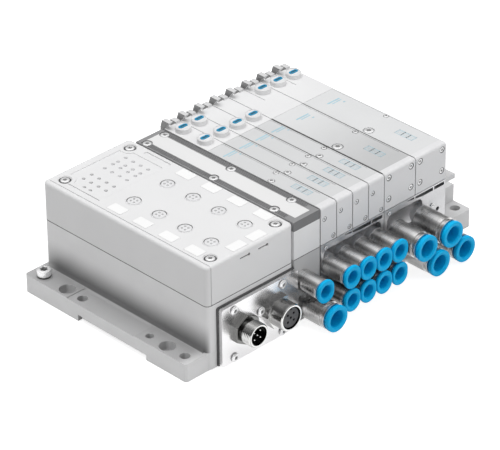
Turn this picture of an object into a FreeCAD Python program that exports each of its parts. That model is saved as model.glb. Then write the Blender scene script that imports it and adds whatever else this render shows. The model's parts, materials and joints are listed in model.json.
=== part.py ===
import FreeCAD, Part
import math
import os

# Pneumatic valve island in millimetres.
# X runs along the row from the electronics block to the end plate, Y runs from the
# connection side to the back, and Z is up. The origin is the centre of the four
# mounting holes in the feet, at the level of the surface that the island stands on.

Vector = FreeCAD.Vector

# Row widths, from left to right
foot_width = 12.8
hole_to_housing = 7.75
electronics_width = 54.2
strip_width = 17.3
station_pitch = 10.5
narrow_valves = 4
stations_per_wide_valve = 2
wide_valves = 2
end_hole_reach = 14.5
end_foot_edge = 4.8

# Depths behind the front plane
foot_front_setback = 0.9
foot_rear_overhang = 0.6
strip_depth = 104.0
valve_depth = 103.0
cap_depth = 4.0
pilot_front = 73.6

# Heights above the mounting surface
base_clear = 0.5
foot_height = 9.4
split_height = 34.1
seat_height = 34.6
valve_height = 19.9
frame_thickness = 4.8

# Mounting holes in the feet
mount_hole_setback = 18.1
mount_hole_spacing = 67.0
mount_hole_r = 2.25
counterbore_r = 4.0
counterbore_depth = 4.4

# Gaps and fits
seam = 0.2
valve_seam = 0.4
running_clearance = 0.05
seat_clearance = 0.02
module_gap = 0.5

# Electronics housing
wall = 2.6
front_wall = 4.0
corner_r = 2.5
edge_r = 1.5
post_r = 4.0
cover_screw_left_inset = 7.9
cover_screw_right_inset = 5.7
cover_screw_front_inset = 5.8
cover_screw_rear_inset = 6.7
cover_seam = 0.15

# Housing and strip screws
screw_head_r = 2.25
screw_head_height = 1.4
screw_shank_r = 1.4
screw_slot = 0.7
cover_recess_r = 3.4
cover_screw_length = 30.0
strip_screw_length = 12.0

# Sensor sockets in the cover
socket_rows = 4
socket_pitch = 16.8
first_socket_setback = 14.9
left_socket_inset = 17.3
right_socket_inset = 38.3
socket_r = 3.95
socket_wall = 0.55
socket_insert_r = 2.75
socket_depth = 8.6
socket_groove_depth = 5.0
socket_pin_circle_r = 1.5
socket_pin_r = 0.45
socket_pins = 3
socket_proud = 0.15

# Label plates
label_length = 9.0
label_width = 5.6
label_thickness = 0.6
label_pocket = 0.5
label_fit = 0.06
side_label_inset = 7.3
right_label_inset = 49.8
front_label_setback = 4.7
front_label_insets = (22.9, 35.2)

# Sunk field round the windows
field_insets = (9.0, 46.4)
socket_to_field = 11.1
field_front_margin = 4.9
field_rear_margin = 6.95
field_to_rear = 5.0
field_depth = 0.3
field_corner_r = 2.0
screw_island_r = 5.2

# Indicator windows
window_r = 0.85
window_pitch = 5.05
window_rows = 4
left_window_insets = (14.7, 19.7)
extra_window_inset = 9.8
extra_window_steps = (5.3, 9.3)
right_window_insets = (27.8, 33.0, 36.1, 41.0)
window_length = 3.4

# Troughs in the cover's top and slots in its front
trough_insets = (4.3, 49.0)
trough_lengths = (25.0, 17.0)
trough_width = 2.4
trough_depth = 0.5
parting_width = 0.4
front_slot_insets = (20.6, 31.9)
front_slot_length = 5.6
front_slot_height = 0.6
front_slot_depth = 0.5
front_slot_drop = 3.7
front_slot_end_r = 0.7

# Circuit board below the sockets
board_thickness = 1.6
board_margin = 0.6

# Connector panel
panel_inset = 6.0
panel_bottom = 0.6
panel_top = 31.2
panel_thickness = 2.4
gasket_thickness = 0.6
gasket_lip = 0.6
panel_screw_head_r = 2.2
panel_screw_left_inset = 7.5
panel_screw_right_inset = 10.3
panel_screw_low = 2.6
panel_screw_drop = 3.0
connector_height = 15.9
plug_inset = 19.8
socket_connector_inset = 40.4
connector_reach = 9.5
middle_screw_rise = 4.2
flange_thickness = 2.6
plug_flange_across = 13.6
plug_r = 6.0
plug_cavity_r = 4.75
plug_cavity_depth = 6.8
plug_neck_r = 5.5
plug_tail_r = 6.4
plug_pin_circle_r = 2.6
plug_pin_r = 0.5
plug_pin_length = 5.8
contact_count = 5
socket_flange_across = 14.6
sleeve_r = 6.7
sleeve_bore_r = 5.6
sleeve_bore_depth = 6.6
carrier_r = 4.9
carrier_hole_r = 0.65
carrier_recess = 0.6
connector_tail = 7.0

# Supply strip
label_insert_inset = 3.6
label_insert_rim = 2.8
label_insert_thickness = 0.8
strip_screw_inset = 2.75
strip_screw_setbacks = (15.1, 54.4, 99.0)
rib_depth = 0.35
rib_width = 0.5

# Small push-in fittings for tube of 6 mm outer diameter
small_tube_r = 3.05
small_body_r = 5.0
small_ring_rx = 5.0
small_ring_rz = 5.9
small_reach = 16.0
small_flange = 1.5
# Large push-in fittings for tube of 8 mm outer diameter
large_tube_r = 4.05
large_body_r = 6.6
large_ring_r = 6.6
large_reach = 20.5
large_flange = 2.0
# Shared fitting sizes
release_travel = 1.0
release_spare = 0.1
collet_wall = 0.85
collet_length = 6.5
tube_seat_length = 5.0
bore_clearance = 0.08
stem_wall = 1.0
stem_depth = 6.0
passage_r = 1.8
small_groove = 1.0
large_groove = 1.8
collar_groove_depth = 0.9
collar_lip = 0.8

# Fitting places on the sub-bases and on the supply block
small_lower_height = 10.2
small_upper_height = 22.6
large_lower_height = 7.7
large_upper_height = 19.6
large_upper_inset = 8.4
large_stagger = 8.8
large_pitch = 17.4
supply_small_inset = 5.3
supply_small_height = 22.6
supply_large_inset = 9.0
supply_large_height = 8.8

# Sub-base front
cove_centre_drop = 8.4
cove_radius = 5.5
cove_offset = 2.2
cove_end_inset = 2.0
wide_cove_length = 24.0
boss_margin = 0.35
vent_drop = 0.8
vent_height = 1.8
vent_tip_height = 0.3
vent_depth = 4.0
vent_insets = (15.8, 26.0, 40.8)
vent_bars = (20.7, 33.6)
vent_bar_width = 0.8
boss_screw_inset = 3.2
boss_screw_drop = 2.2
side_screw_inset = 32.7
side_screw_height = 24.2
side_hole_inset = 36.6
side_hole_height = 20.6
side_hole_r = 1.1
side_hole_depth = 4.0

# Valves
narrow_spool_r = 2.1
narrow_spool_inset = 5.4
wide_spool_r = 4.2
narrow_spool_travel = 2.0
wide_spool_travel = 3.0
spool_end_gap = 0.3
spool_lands = 4
spool_land_share = 0.4
spool_groove_share = 0.6
cap_edge_r = 1.5
cap_lift = 0.3
print_field_depth = 0.2
print_field_rim = 0.8
print_field_front = 9.8
body_chamfer = 0.15
hold_screw_setback = 33.6
hold_screw_rear_step = 3.6
narrow_hold_inset = 2.1
narrow_hold_head_r = 1.75
wide_hold_inset = 3.6
wide_hold_head_r = 2.8
rear_hold_inset = 1.75
rear_hold_head_r = 1.4
hold_head_height = 1.2
hold_head_proud = 0.15
hold_shank_r = 0.8
hold_thread = 4.0
narrow_cap_screw_insets = (2.7, 8.4)
narrow_cap_screw_drop = 6.5
narrow_cap_screw_rise = 2.3
narrow_cap_head_r = 1.25
wide_cap_screw_inset = 3.05
wide_cap_screw_drop = 2.9
wide_cap_screw_rise = 5.7
wide_cap_head_r = 1.6
boss_head_r = 1.1
cap_head_depth = 0.9
cap_shank_r = 0.6
cap_screw_length = 7.0

# Manual overrides
override_front_step = 7.0
override_rear_inset = 7.5
collar_r = 3.85
collar_height = 2.7
collar_recess_r = 3.1
collar_recess_depth = 0.3
plunger_length = 5.2
plunger_width = 2.4
plunger_drop = 0.1
plunger_travel = 1.0
plunger_bore_depth = 5.0
plunger_slot_length = 3.4
plunger_slot = 0.8
plunger_slot_depth = 0.9
front_override_stations = (0, 1, 2, 3)
rear_override_stations = (0, 1, 5, 6, 7)

# Rear tabs of the pilot units
tab_inset = 0.5
tab_width = 2.6
tab_foot_length = 3.0
tab_top_length = 4.8
tab_lean = 3.0
tab_rise = 3.8
tab_drop = 6.0
key_width = 2.8
key_inset = 7.0
key_lap = 0.7
key_length = 3.9
key_rise = 1.1
station_seam = 0.4
station_seam_depth = 0.5
station_seam_length = 14.5

# End plate
end_wall = 6.5
end_wall_setback = 7.0
end_flange_thickness = 2.4
end_boss_height = 18.4
end_boss_length = 12.0

# Foot details
foot_relief = 2.6
foot_relief_span = (27.0, 69.6)
foot_notch = 3.0
foot_notch_height = 3.4
pad_step = 0.4
pad_spans = (34.8, 80.0)
foot_cove_r = 2.5
plain_hole_r = 2.5
front_plain_setback = 6.8
rear_plain_setback = 74.7
small_hole_r = 2.0
small_hole_setback = 29.7
earth_screw_rear_inset = 7.8
earth_head_r = 2.9
earth_head_height = 3.2
earth_shank_r = 2.0
earth_socket_r = 1.7
washer_r = 3.5
washer_thickness = 0.8
screw_thread_depth = 7.0

# Worked-out heights
top_height = seat_height + valve_height
frame_bottom = top_height - frame_thickness
spool_height = (seat_height + top_height) / 2

# Worked-out depths: the housing is as deep as its sockets and its window field
field_front = first_socket_setback + socket_pitch * (socket_rows - 1) + socket_to_field
window_row_setback = field_front + field_front_margin
field_rear = window_row_setback + window_pitch * (window_rows - 1) + field_rear_margin
housing_depth = field_rear + field_to_rear
earth_screw_setback = housing_depth + foot_rear_overhang - earth_screw_rear_inset

# Worked-out places along the row
wide_pitch = station_pitch * stations_per_wide_valve
narrow_length = station_pitch * narrow_valves
wide_length = wide_pitch * wide_valves
hole_spacing_x = (hole_to_housing + electronics_width + strip_width
                  + narrow_length + wide_length + end_hole_reach)
left_hole = -hole_spacing_x / 2
right_hole = hole_spacing_x / 2
housing_left = left_hole + hole_to_housing
foot_left = housing_left - foot_width
strip_left = housing_left + electronics_width
row_left = strip_left + strip_width
wide_left = row_left + narrow_length
row_right = wide_left + wide_length
end_right = right_hole + end_foot_edge
front = -mount_hole_setback - mount_hole_spacing / 2
panel_left = housing_left + panel_inset
panel_right = strip_left
panel_face = front - gasket_thickness - panel_thickness
board_top = top_height - socket_depth + socket_proud


def block(x0, x1, y0, y1, z0, z1):
    return Part.makeBox(x1 - x0, y1 - y0, z1 - z0, Vector(x0, y0, z0))


def post(x, y, z0, z1, radius):
    return Part.makeCylinder(radius, z1 - z0, Vector(x, y, z0), Vector(0, 0, 1))


def rod(x, y0, y1, z, radius):
    return Part.makeCylinder(radius, y1 - y0, Vector(x, y0, z), Vector(0, 1, 0))


def rounded_outline(a0, a1, b0, b1, radius):
    """Closed outline of a rectangle with round corners in the XY plane."""
    k = radius * (1 - math.sqrt(0.5))
    corners = (
        ((a1 - radius, b0), (a1 - k, b0 + k), (a1, b0 + radius)),
        ((a1, b1 - radius), (a1 - k, b1 - k), (a1 - radius, b1)),
        ((a0 + radius, b1), (a0 + k, b1 - k), (a0, b1 - radius)),
        ((a0, b0 + radius), (a0 + k, b0 + k), (a0 + radius, b0)),
    )
    edges = []
    last = corners[-1][2]
    for corner in corners:
        start, middle, end = [Vector(p[0], p[1], 0) for p in corner]
        edges.append(Part.makeLine(Vector(last[0], last[1], 0), start))
        edges.append(Part.Arc(start, middle, end).toShape())
        last = corner[2]
    return Part.Wire(edges)


def rounded_block(x0, x1, y0, y1, z0, z1, radius):
    """Block with round upright corners."""
    face = Part.Face(rounded_outline(x0, x1, y0, y1, radius))
    face.translate(Vector(0, 0, z0))
    return face.extrude(Vector(0, 0, z1 - z0))


def rounded_plate(x0, x1, y0, y1, z0, z1, radius):
    """Upright plate that faces the front, with round corners."""
    face = Part.Face(rounded_outline(x0, x1, z0, z1, radius))
    solid = face.extrude(Vector(0, 0, y1 - y0))
    solid.rotate(Vector(0, 0, 0), Vector(1, 0, 0), 90)
    solid.translate(Vector(0, y1, 0))
    return solid


def join(pieces):
    return pieces[0].fuse(pieces[1:]).removeSplitter()


def cut(shape, tools):
    return shape.cut(Part.makeCompound(tools)) if tools else shape


def fillet_where(shape, radius, wanted):
    return shape.makeFillet(radius, [edge for edge in shape.Edges if wanted(edge)])


def chamfer_where(shape, size, wanted):
    return shape.makeChamfer(size, [edge for edge in shape.Edges if wanted(edge)])


def is_straight(edge):
    return isinstance(edge.Curve, Part.Line)


def lies_at(edge, axis, value):
    """True where the whole edge lies in the plane axis = value."""
    box = edge.BoundBox
    low = {"x": box.XMin, "y": box.YMin, "z": box.ZMin}[axis]
    high = {"x": box.XMax, "y": box.YMax, "z": box.ZMax}[axis]
    return abs(low - value) < 1e-4 and abs(high - value) < 1e-4


def save(name, shape):
    if isinstance(shape, list):
        shape = Part.makeCompound(shape)
    if not shape.isValid():
        raise ValueError(name + " is not a valid shape")
    shape.exportStep("parts/" + name + ".step")


# Mounting feet

def foot_holes():
    """The holes of the left foot, from front to back."""
    y0 = front + mount_hole_setback
    y1 = y0 + mount_hole_spacing
    cuts = []
    for y in (y0, y1):
        cuts.append(post(left_hole, y, -1, foot_height + 1, mount_hole_r))
        cuts.append(post(left_hole, y, foot_height - counterbore_depth, foot_height + 1, counterbore_r))
    for setback in (front_plain_setback, rear_plain_setback):
        cuts.append(post(left_hole, front + setback, -1, foot_height + 1, plain_hole_r))
    cuts.append(post(left_hole, front + small_hole_setback, -1, foot_height + 1, small_hole_r))
    depth = screw_thread_depth + seam
    cuts.append(post(left_hole, front + earth_screw_setback, foot_height - depth, foot_height + 1,
                     earth_shank_r + seat_clearance))
    return cuts


def left_foot():
    """Foot flange with a relieved underside and a lowered middle."""
    y0 = front + foot_front_setback
    y1 = front + housing_depth + foot_rear_overhang
    foot = rounded_block(foot_left, housing_left + corner_r + wall, y0, y1, 0, foot_height, edge_r)
    reach = housing_left + wall
    relief = block(foot_left - 1, reach, front + foot_relief_span[0], front + foot_relief_span[1],
                   -1, foot_relief)
    notch = block(foot_left - 1, housing_left, front + foot_relief_span[1] - 0.01,
                  front + foot_relief_span[1] + foot_notch, -1, foot_notch_height)
    middle = rounded_block(foot_left - 9, housing_left - 0.6, front + pad_spans[0],
                           front + pad_spans[1], foot_height - pad_step, foot_height + 1, foot_cove_r)
    return cut(foot, [relief, notch, middle])


def foot_fillet():
    """Concave strip between the foot's top and the housing wall."""
    x0 = housing_left - foot_cove_r
    z0 = foot_height - pad_step
    y0 = front + corner_r
    y1 = front + housing_depth - corner_r
    strip = block(x0, housing_left + 1, y0, y1, z0, z0 + foot_cove_r)
    round_cut = Part.makeCylinder(foot_cove_r, y1 - y0, Vector(x0, y0, z0 + foot_cove_r), Vector(0, 1, 0))
    return strip.cut(round_cut)


def earth_screw():
    """Socket-head earth screw with its washer at the back of the left foot."""
    x = left_hole
    y = front + earth_screw_setback
    washer = post(x, y, foot_height, foot_height + washer_thickness, washer_r)
    washer = washer.cut(post(x, y, foot_height - 1, foot_height + 2, earth_shank_r + bore_clearance))
    z = foot_height + washer_thickness
    head = post(x, y, z, z + earth_head_height, earth_head_r)
    head = chamfer_where(head, 0.3, lambda e: lies_at(e, "z", z + earth_head_height))
    shank = post(x, y, foot_height - screw_thread_depth, z, earth_shank_r)
    socket = hexagon_post(x, y, z + earth_head_height / 2, z + earth_head_height + 1, earth_socket_r)
    return [washer, join([head, shank]).cut(socket)]


def hexagon_post(x, y, z0, z1, radius):
    """Upright hexagon prism of the given corner radius."""
    points = [Vector(x + radius * math.cos(math.radians(60 * k)),
                     y + radius * math.sin(math.radians(60 * k)), z0) for k in range(7)]
    return Part.Face(Part.makePolygon(points)).extrude(Vector(0, 0, z1 - z0))


def hexagon_rod(x, y0, y1, z, across):
    """Hexagon prism along Y with the given width across flats."""
    radius = across / math.sqrt(3)
    points = [Vector(x + radius * math.cos(math.radians(60 * k)), y0,
                     z + radius * math.sin(math.radians(60 * k))) for k in range(7)]
    return Part.Face(Part.makePolygon(points)).extrude(Vector(0, y1 - y0, 0))


# Electronics block

def cover_screw_places():
    places = []
    for x in (housing_left + cover_screw_left_inset, strip_left - cover_screw_right_inset):
        for y in (front + cover_screw_front_inset, front + housing_depth - cover_screw_rear_inset):
            places.append((x, y))
    return places


def connector_places():
    return (housing_left + plug_inset, housing_left + socket_connector_inset)


def panel_screw_places():
    left = panel_left + panel_screw_left_inset
    right = panel_right - panel_screw_right_inset
    low = panel_bottom + panel_screw_low
    high = panel_top - panel_screw_drop
    middle = sum(connector_places()) / 2
    return ((left, low), (left, high), (right, low), (right, high),
            (middle, connector_height + middle_screw_rise))


def electronics_base():
    """Die-cast housing with the left foot, corner posts and connector openings."""
    y1 = front + housing_depth
    shell = rounded_block(housing_left, strip_left, front, y1, base_clear, split_height, corner_r)
    body = join([shell, left_foot(), foot_fillet()])
    cavity = rounded_block(housing_left + wall, strip_left - wall, front + front_wall, y1 - wall,
                           base_clear + wall, split_height + 1, corner_r)
    for x, y in cover_screw_places():
        cavity = cavity.cut(post(x, y, 0, top_height, post_r))
    cuts = [cavity]
    for x, y in cover_screw_places():
        depth = top_height - cover_screw_length - seam
        cuts.append(post(x, y, depth, split_height + 1, screw_shank_r + seat_clearance))
    for x in connector_places():
        cuts.append(rod(x, front - 1, front + front_wall + 1, connector_height, plug_tail_r + seam))
    for x, z in panel_screw_places():
        cuts.append(rod(x, front - 1, front + front_wall - 0.4, z, cap_shank_r + seat_clearance))
    return cut(body, cuts + foot_holes())


def socket_places():
    places = []
    for inset in (left_socket_inset, right_socket_inset):
        for row in range(socket_rows):
            places.append((housing_left + inset, front + first_socket_setback + row * socket_pitch))
    return places


def window_places():
    """Centres of the indicator windows behind the sockets."""
    places = []
    for inset in left_window_insets + right_window_insets:
        for row in range(window_rows):
            places.append((housing_left + inset, front + window_row_setback + row * window_pitch))
    for step in extra_window_steps:
        places.append((housing_left + extra_window_inset, front + window_row_setback + step))
    return places


def label_places():
    """Centre, width along X and length along Y of each label plate on the cover."""
    places = []
    for inset in (side_label_inset, right_label_inset):
        for row in range(socket_rows):
            y = front + first_socket_setback + row * socket_pitch
            places.append((housing_left + inset, y, label_width, label_length))
    for inset in front_label_insets:
        places.append((housing_left + inset, front + front_label_setback, label_length, label_width))
    return places


def label_plate(x, y, width, length, z0, z1, extra):
    half_x = width / 2 + extra
    half_y = length / 2 + extra
    return rounded_block(x - half_x, x + half_x, y - half_y, y + half_y, z0, z1, 0.5)


def cover_shell():
    """Closed top with round edges, hollow below, with a column round each screw."""
    y1 = front + housing_depth
    z0 = split_height + cover_seam
    shell = rounded_block(housing_left, strip_left, front, y1, z0, top_height, corner_r)
    shell = fillet_where(shell, edge_r, lambda e: lies_at(e, "z", top_height))
    cavity = rounded_block(housing_left + wall, strip_left - wall, front + wall, y1 - wall,
                           z0 - 1, top_height - wall, corner_r - 1)
    for x, y in cover_screw_places():
        cavity = cavity.cut(post(x, y, 0, top_height, post_r))
    return shell.cut(cavity)


def cover_grooves():
    """Parting groove along the left edge, troughs beside the windows and front slots."""
    y1 = front + housing_depth
    x = housing_left + corner_r
    cuts = [block(x, x + parting_width, front - 1, y1 - corner_r, top_height - parting_width, top_height + 1)]
    cuts.append(block(x, x + parting_width, front - 1, front + parting_width, split_height, top_height + 1))
    for inset, length in zip(trough_insets, trough_lengths):
        x = housing_left + inset
        y = front + field_front
        cuts.append(rounded_block(x, x + trough_width, y, y + length, top_height - trough_depth,
                                  top_height + 1, trough_width * 0.4))
    cuts.append(window_field())
    z = top_height - front_slot_drop
    for inset in front_slot_insets:
        x = housing_left + inset
        cuts.append(block(x, x + front_slot_length, front - 1, front + front_slot_depth,
                          z - front_slot_height / 2, z + front_slot_height / 2))
        cuts.append(rod(x + front_slot_length, front - 1, front + front_slot_depth * 2, z, front_slot_end_r))
    return cuts


def window_field():
    """Shallow field behind the sockets that leaves an island round each rear screw."""
    z0 = top_height - field_depth
    field = rounded_block(housing_left + field_insets[0], housing_left + field_insets[1],
                          front + field_front, front + field_rear, z0, top_height + 1, field_corner_r)
    return cut(field, [post(x, y, z0 - 1, top_height + 2, screw_island_r) for x, y in cover_screw_places()])


def electronics_cover():
    """Moulded cover with all openings for sockets, windows, labels and screws."""
    cuts = cover_grooves()
    for x, y in socket_places():
        cuts.append(post(x, y, board_top, top_height + 1, socket_r + seat_clearance))
    for x, y in window_places():
        cuts.append(post(x, y, board_top, top_height + 1, window_r + seat_clearance))
    for x, y, width, length in label_places():
        cuts.append(label_plate(x, y, width, length, top_height - label_pocket, top_height + 1, label_fit))
    for x, y in cover_screw_places():
        head_z = top_height - screw_head_height
        cuts.append(post(x, y, 0, top_height, screw_shank_r + bore_clearance))
        cuts.append(Part.makeCone(screw_head_r + bore_clearance, cover_recess_r, screw_head_height,
                                  Vector(x, y, head_z), Vector(0, 0, 1)))
    return cut(cover_shell(), cuts)


def sensor_socket(x, y):
    """One socket: a sleeve round a contact carrier, open in between, with contact holes."""
    top = top_height + socket_proud
    body = post(x, y, board_top, top, socket_r)
    ring = post(x, y, top - socket_groove_depth, top + 1, socket_r - socket_wall)
    ring = ring.cut(post(x, y, 0, top + 2, socket_insert_r))
    cuts = [ring]
    for k in range(socket_pins):
        angle = math.radians(90 + 360 / socket_pins * k)
        px = x + socket_pin_circle_r * math.cos(angle)
        py = y + socket_pin_circle_r * math.sin(angle)
        cuts.append(post(px, py, top - socket_groove_depth, top + 1, socket_pin_r))
    return cut(body, cuts)


def circuit_board():
    """Board that carries the sockets and the indicators, notched round the screw columns."""
    inset = wall + board_margin
    y1 = front + housing_depth
    board = block(housing_left + inset, strip_left - inset, front + inset, y1 - inset,
                  board_top - board_thickness, board_top)
    cuts = []
    for x, y in cover_screw_places():
        reach = post_r + board_margin
        outer_x = housing_left if x < housing_left + electronics_width / 2 else strip_left
        outer_y = front if y < front + housing_depth / 2 else y1
        cuts.append(block(min(outer_x, x - reach), max(outer_x, x + reach),
                          min(outer_y, y - reach), max(outer_y, y + reach), 0, top_height))
    return cut(board, cuts)


def pan_screw(x, y, top, head_r, head_height, shank_r, length):
    """Upright screw with a slotted head; its top face is at the given height."""
    head = post(x, y, top - head_height, top, head_r)
    head = chamfer_where(head, head_height * 0.25, lambda e: lies_at(e, "z", top))
    shank = post(x, y, top - length, top - head_height, shank_r)
    slot = block(x - head_r, x + head_r, y - screw_slot / 2, y + screw_slot / 2,
                 top - head_height / 2, top + 1)
    return join([head, shank]).cut(slot)


def front_screw(x, z, face, head_r, head_height, shank_r, length):
    """Screw that faces the front; its head's front face is at the given Y."""
    head = rod(x, face, face + head_height, z, head_r)
    shank = rod(x, face + head_height, face + length, z, shank_r)
    slot = block(x - head_r, x + head_r, face - 1, face + head_height / 2,
                 z - head_r * 0.18, z + head_r * 0.18)
    return join([head, shank]).cut(slot)


# Connector panel

def connector_panel():
    y1 = front - gasket_thickness
    plate = rounded_plate(panel_left, panel_right - seam, panel_face, y1, panel_bottom, panel_top, 1.0)
    cuts = [rod(x, panel_face - 1, y1 + 1, connector_height, plug_tail_r + seat_clearance)
            for x in connector_places()]
    for x, z in panel_screw_places():
        cuts.append(rod(x, panel_face - 1, y1 + 1, z, cap_shank_r + bore_clearance))
    return cut(plate, cuts)


def panel_gasket():
    y0 = front - gasket_thickness
    sheet = rounded_plate(panel_left - gasket_lip, panel_right - seam, y0, front, base_clear,
                          panel_top + gasket_lip, 1.0)
    cuts = [rod(x, y0 - 1, front + 1, connector_height, plug_tail_r + seam) for x in connector_places()]
    for x, z in panel_screw_places():
        cuts.append(rod(x, y0 - 1, front + 1, z, cap_shank_r + bore_clearance))
    return cut(sheet, cuts)


def plug_shell():
    """Threaded shell of the plug connector, open at the front, with a hexagon flange."""
    x = connector_places()[0]
    z = connector_height
    tip = panel_face - connector_reach
    flange = hexagon_rod(x, panel_face - flange_thickness, panel_face, z, plug_flange_across)
    neck = rod(x, panel_face - flange_thickness - 1.2, panel_face, z, plug_neck_r)
    thread = rod(x, tip, panel_face - flange_thickness - 1.2, z, plug_r)
    thread = chamfer_where(thread, 0.5, lambda e: lies_at(e, "y", tip))
    tail = rod(x, panel_face, panel_face + connector_tail, z, plug_tail_r)
    cavity = rod(x, tip - 1, tip + plug_cavity_depth, z, plug_cavity_r)
    bore = rod(x, tip, panel_face + connector_tail + 1, z, plug_cavity_r - 0.5)
    return cut(join([flange, neck, thread, tail]), [cavity, bore])


def contact_circle(x, z):
    """Places of the contacts: one in the middle and the others on a circle."""
    places = [(x, z)]
    for k in range(contact_count - 1):
        angle = math.radians(45 + 360 / (contact_count - 1) * k)
        places.append((x + plug_pin_circle_r * math.cos(angle), z + plug_pin_circle_r * math.sin(angle)))
    return places


def plug_insert():
    """Contact carrier of the plug with its pins."""
    x = connector_places()[0]
    face = panel_face - connector_reach + plug_cavity_depth
    radius = plug_cavity_r - 0.5 - seat_clearance
    pieces = [rod(x, face, panel_face + connector_tail, connector_height, radius)]
    for px, pz in contact_circle(x, connector_height):
        pieces.append(rod(px, face - plug_pin_length, face, pz, plug_pin_r))
    return pieces


def socket_shell():
    """Smooth sleeve of the socket connector with its hexagon flange."""
    x = connector_places()[1]
    z = connector_height
    tip = panel_face - connector_reach
    flange = hexagon_rod(x, panel_face - flange_thickness, panel_face, z, socket_flange_across)
    sleeve = rod(x, tip, panel_face, z, sleeve_r)
    sleeve = chamfer_where(sleeve, 0.4, lambda e: lies_at(e, "y", tip))
    tail = rod(x, panel_face, panel_face + connector_tail, z, plug_tail_r)
    cavity = rod(x, tip - 1, tip + sleeve_bore_depth, z, sleeve_bore_r)
    bore = rod(x, tip, panel_face + connector_tail + 1, z, carrier_r + seat_clearance)
    return cut(join([flange, sleeve, tail]), [cavity, bore])


def socket_insert():
    """Contact carrier of the socket with its contact holes and a coding groove."""
    x = connector_places()[1]
    z = connector_height
    face = panel_face - connector_reach + carrier_recess
    carrier = rod(x, face, panel_face + connector_tail, z, carrier_r)
    cuts = [rod(px, face - 1, face + plug_pin_length, pz, carrier_hole_r) for px, pz in contact_circle(x, z)]
    cuts.append(block(x - 0.6, x + 0.6, face - 1, face + plug_pin_length,
                      z + carrier_r - 0.8, z + carrier_r + 1))
    return cut(carrier, cuts)


# Supply strip

def strip_screw_places():
    places = []
    for x in (strip_left + strip_screw_inset, row_left - module_gap - strip_screw_inset):
        for setback in strip_screw_setbacks:
            places.append((x, front + setback))
    return places


def supply_fitting_places():
    return ((strip_left + supply_small_inset, supply_small_height),
            (row_left - module_gap - supply_large_inset, supply_large_height))


def supply_block():
    """Cast block that takes the supply fittings, with a seam at the height of the valves."""
    x0 = strip_left + seam
    x1 = row_left - module_gap
    body = block(x0, x1, front, front + strip_depth, base_clear, frame_bottom)
    small, large = supply_fitting_places()
    cuts = [block(x0 - 1, x1 + 1, front - 1, front + seam, seat_height - seam, seat_height + seam)]
    cuts += fitting_holes(small, small_tube_r)
    cuts += fitting_holes(large, large_tube_r)
    for x, y in strip_screw_places():
        cuts.append(post(x, y, top_height - strip_screw_length - seam, top_height,
                         screw_shank_r + seat_clearance))
    return cut(body, cuts)


def label_frame():
    """Dark frame on the supply block with a tray for the label and ribbed side bands."""
    x0 = strip_left + seam
    x1 = row_left - module_gap
    y1 = front + strip_depth
    body = block(x0, x1, front, y1, frame_bottom, top_height)
    body = fillet_where(body, 0.5, lambda e: is_straight(e) and lies_at(e, "z", top_height))
    cuts = [strip_label(label_fit)]
    band = label_insert_inset
    for edge in (x0, x1 - band):
        for k in (1, 2, 3):
            x = edge + band * k / 4 - rib_width / 2
            cuts.append(block(x, x + rib_width, front + label_insert_rim + band, y1 - label_insert_rim,
                              top_height - rib_depth, top_height + 1))
    for x, y in strip_screw_places():
        cuts.append(post(x, y, 0, top_height, screw_shank_r + bore_clearance))
        cuts.append(post(x, y, top_height - screw_head_height, top_height + 1,
                         screw_head_r + bore_clearance))
    return cut(body, cuts)


def strip_label(extra):
    """White label plate of the strip, cut back round the screw heads."""
    inset = label_insert_inset - extra
    x0 = strip_left + seam + inset
    x1 = row_left - module_gap - inset
    rim = label_insert_rim - extra
    z0 = top_height - label_insert_thickness
    plate = block(x0, x1, front + rim, front + strip_depth - rim, z0, top_height - seat_clearance + extra)
    cuts = [post(x, y, z0 - 1, top_height + 1, screw_head_r + 0.4 - extra) for x, y in strip_screw_places()]
    return cut(plate, cuts)


# Push-in fittings

def fitting_hole_r(tube_r):
    return tube_r + collet_wall + bore_clearance - stem_wall / 2


def fitting_holes(place, tube_r):
    x, z = place
    return [rod(x, front - 1, front + stem_depth + seam, z, fitting_hole_r(tube_r) + seat_clearance)]


def fitting_body(place, tube_r, body_r, reach, flange, collar_groove):
    """Turned body with a stem, a grooved collar, a collet bore and the tube's seat."""
    x, z = place
    tip = front - reach + flange + release_travel + release_spare
    collet_r = tube_r + collet_wall + bore_clearance
    collet_end = tip + collet_length + release_travel + release_spare
    seat_end = collet_end + tube_seat_length
    sleeve = rod(x, tip, front, z, body_r)
    sleeve = chamfer_where(sleeve, 0.4, lambda e: lies_at(e, "y", tip))
    stem = rod(x, front, front + stem_depth, z, fitting_hole_r(tube_r))
    groove = rod(x, tip + collar_lip, tip + collar_lip + collar_groove, z, body_r + 1)
    neck_r = max(body_r - collar_groove_depth, collet_r + 0.4)
    groove = groove.cut(rod(x, tip, front, z, neck_r))
    cuts = [groove]
    cuts.append(rod(x, tip - 1, collet_end, z, collet_r))
    cuts.append(rod(x, collet_end - 0.01, seat_end, z, tube_r))
    cuts.append(rod(x, seat_end - 0.01, front + stem_depth + 1, z, passage_r))
    return cut(join([sleeve, stem]), cuts)


def oval_disc(x, z, y0, y1, rx, rz):
    """Disc along Y, round or with straight sides where it is taller than wide."""
    if rz - rx < 0.01:
        return rod(x, y0, y1, z, rx)
    rise = rz - rx
    middle = block(x - rx, x + rx, y0, y1, z - rise, z + rise)
    return join([rod(x, y0, y1, z - rise, rx), rod(x, y0, y1, z + rise, rx), middle])


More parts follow.
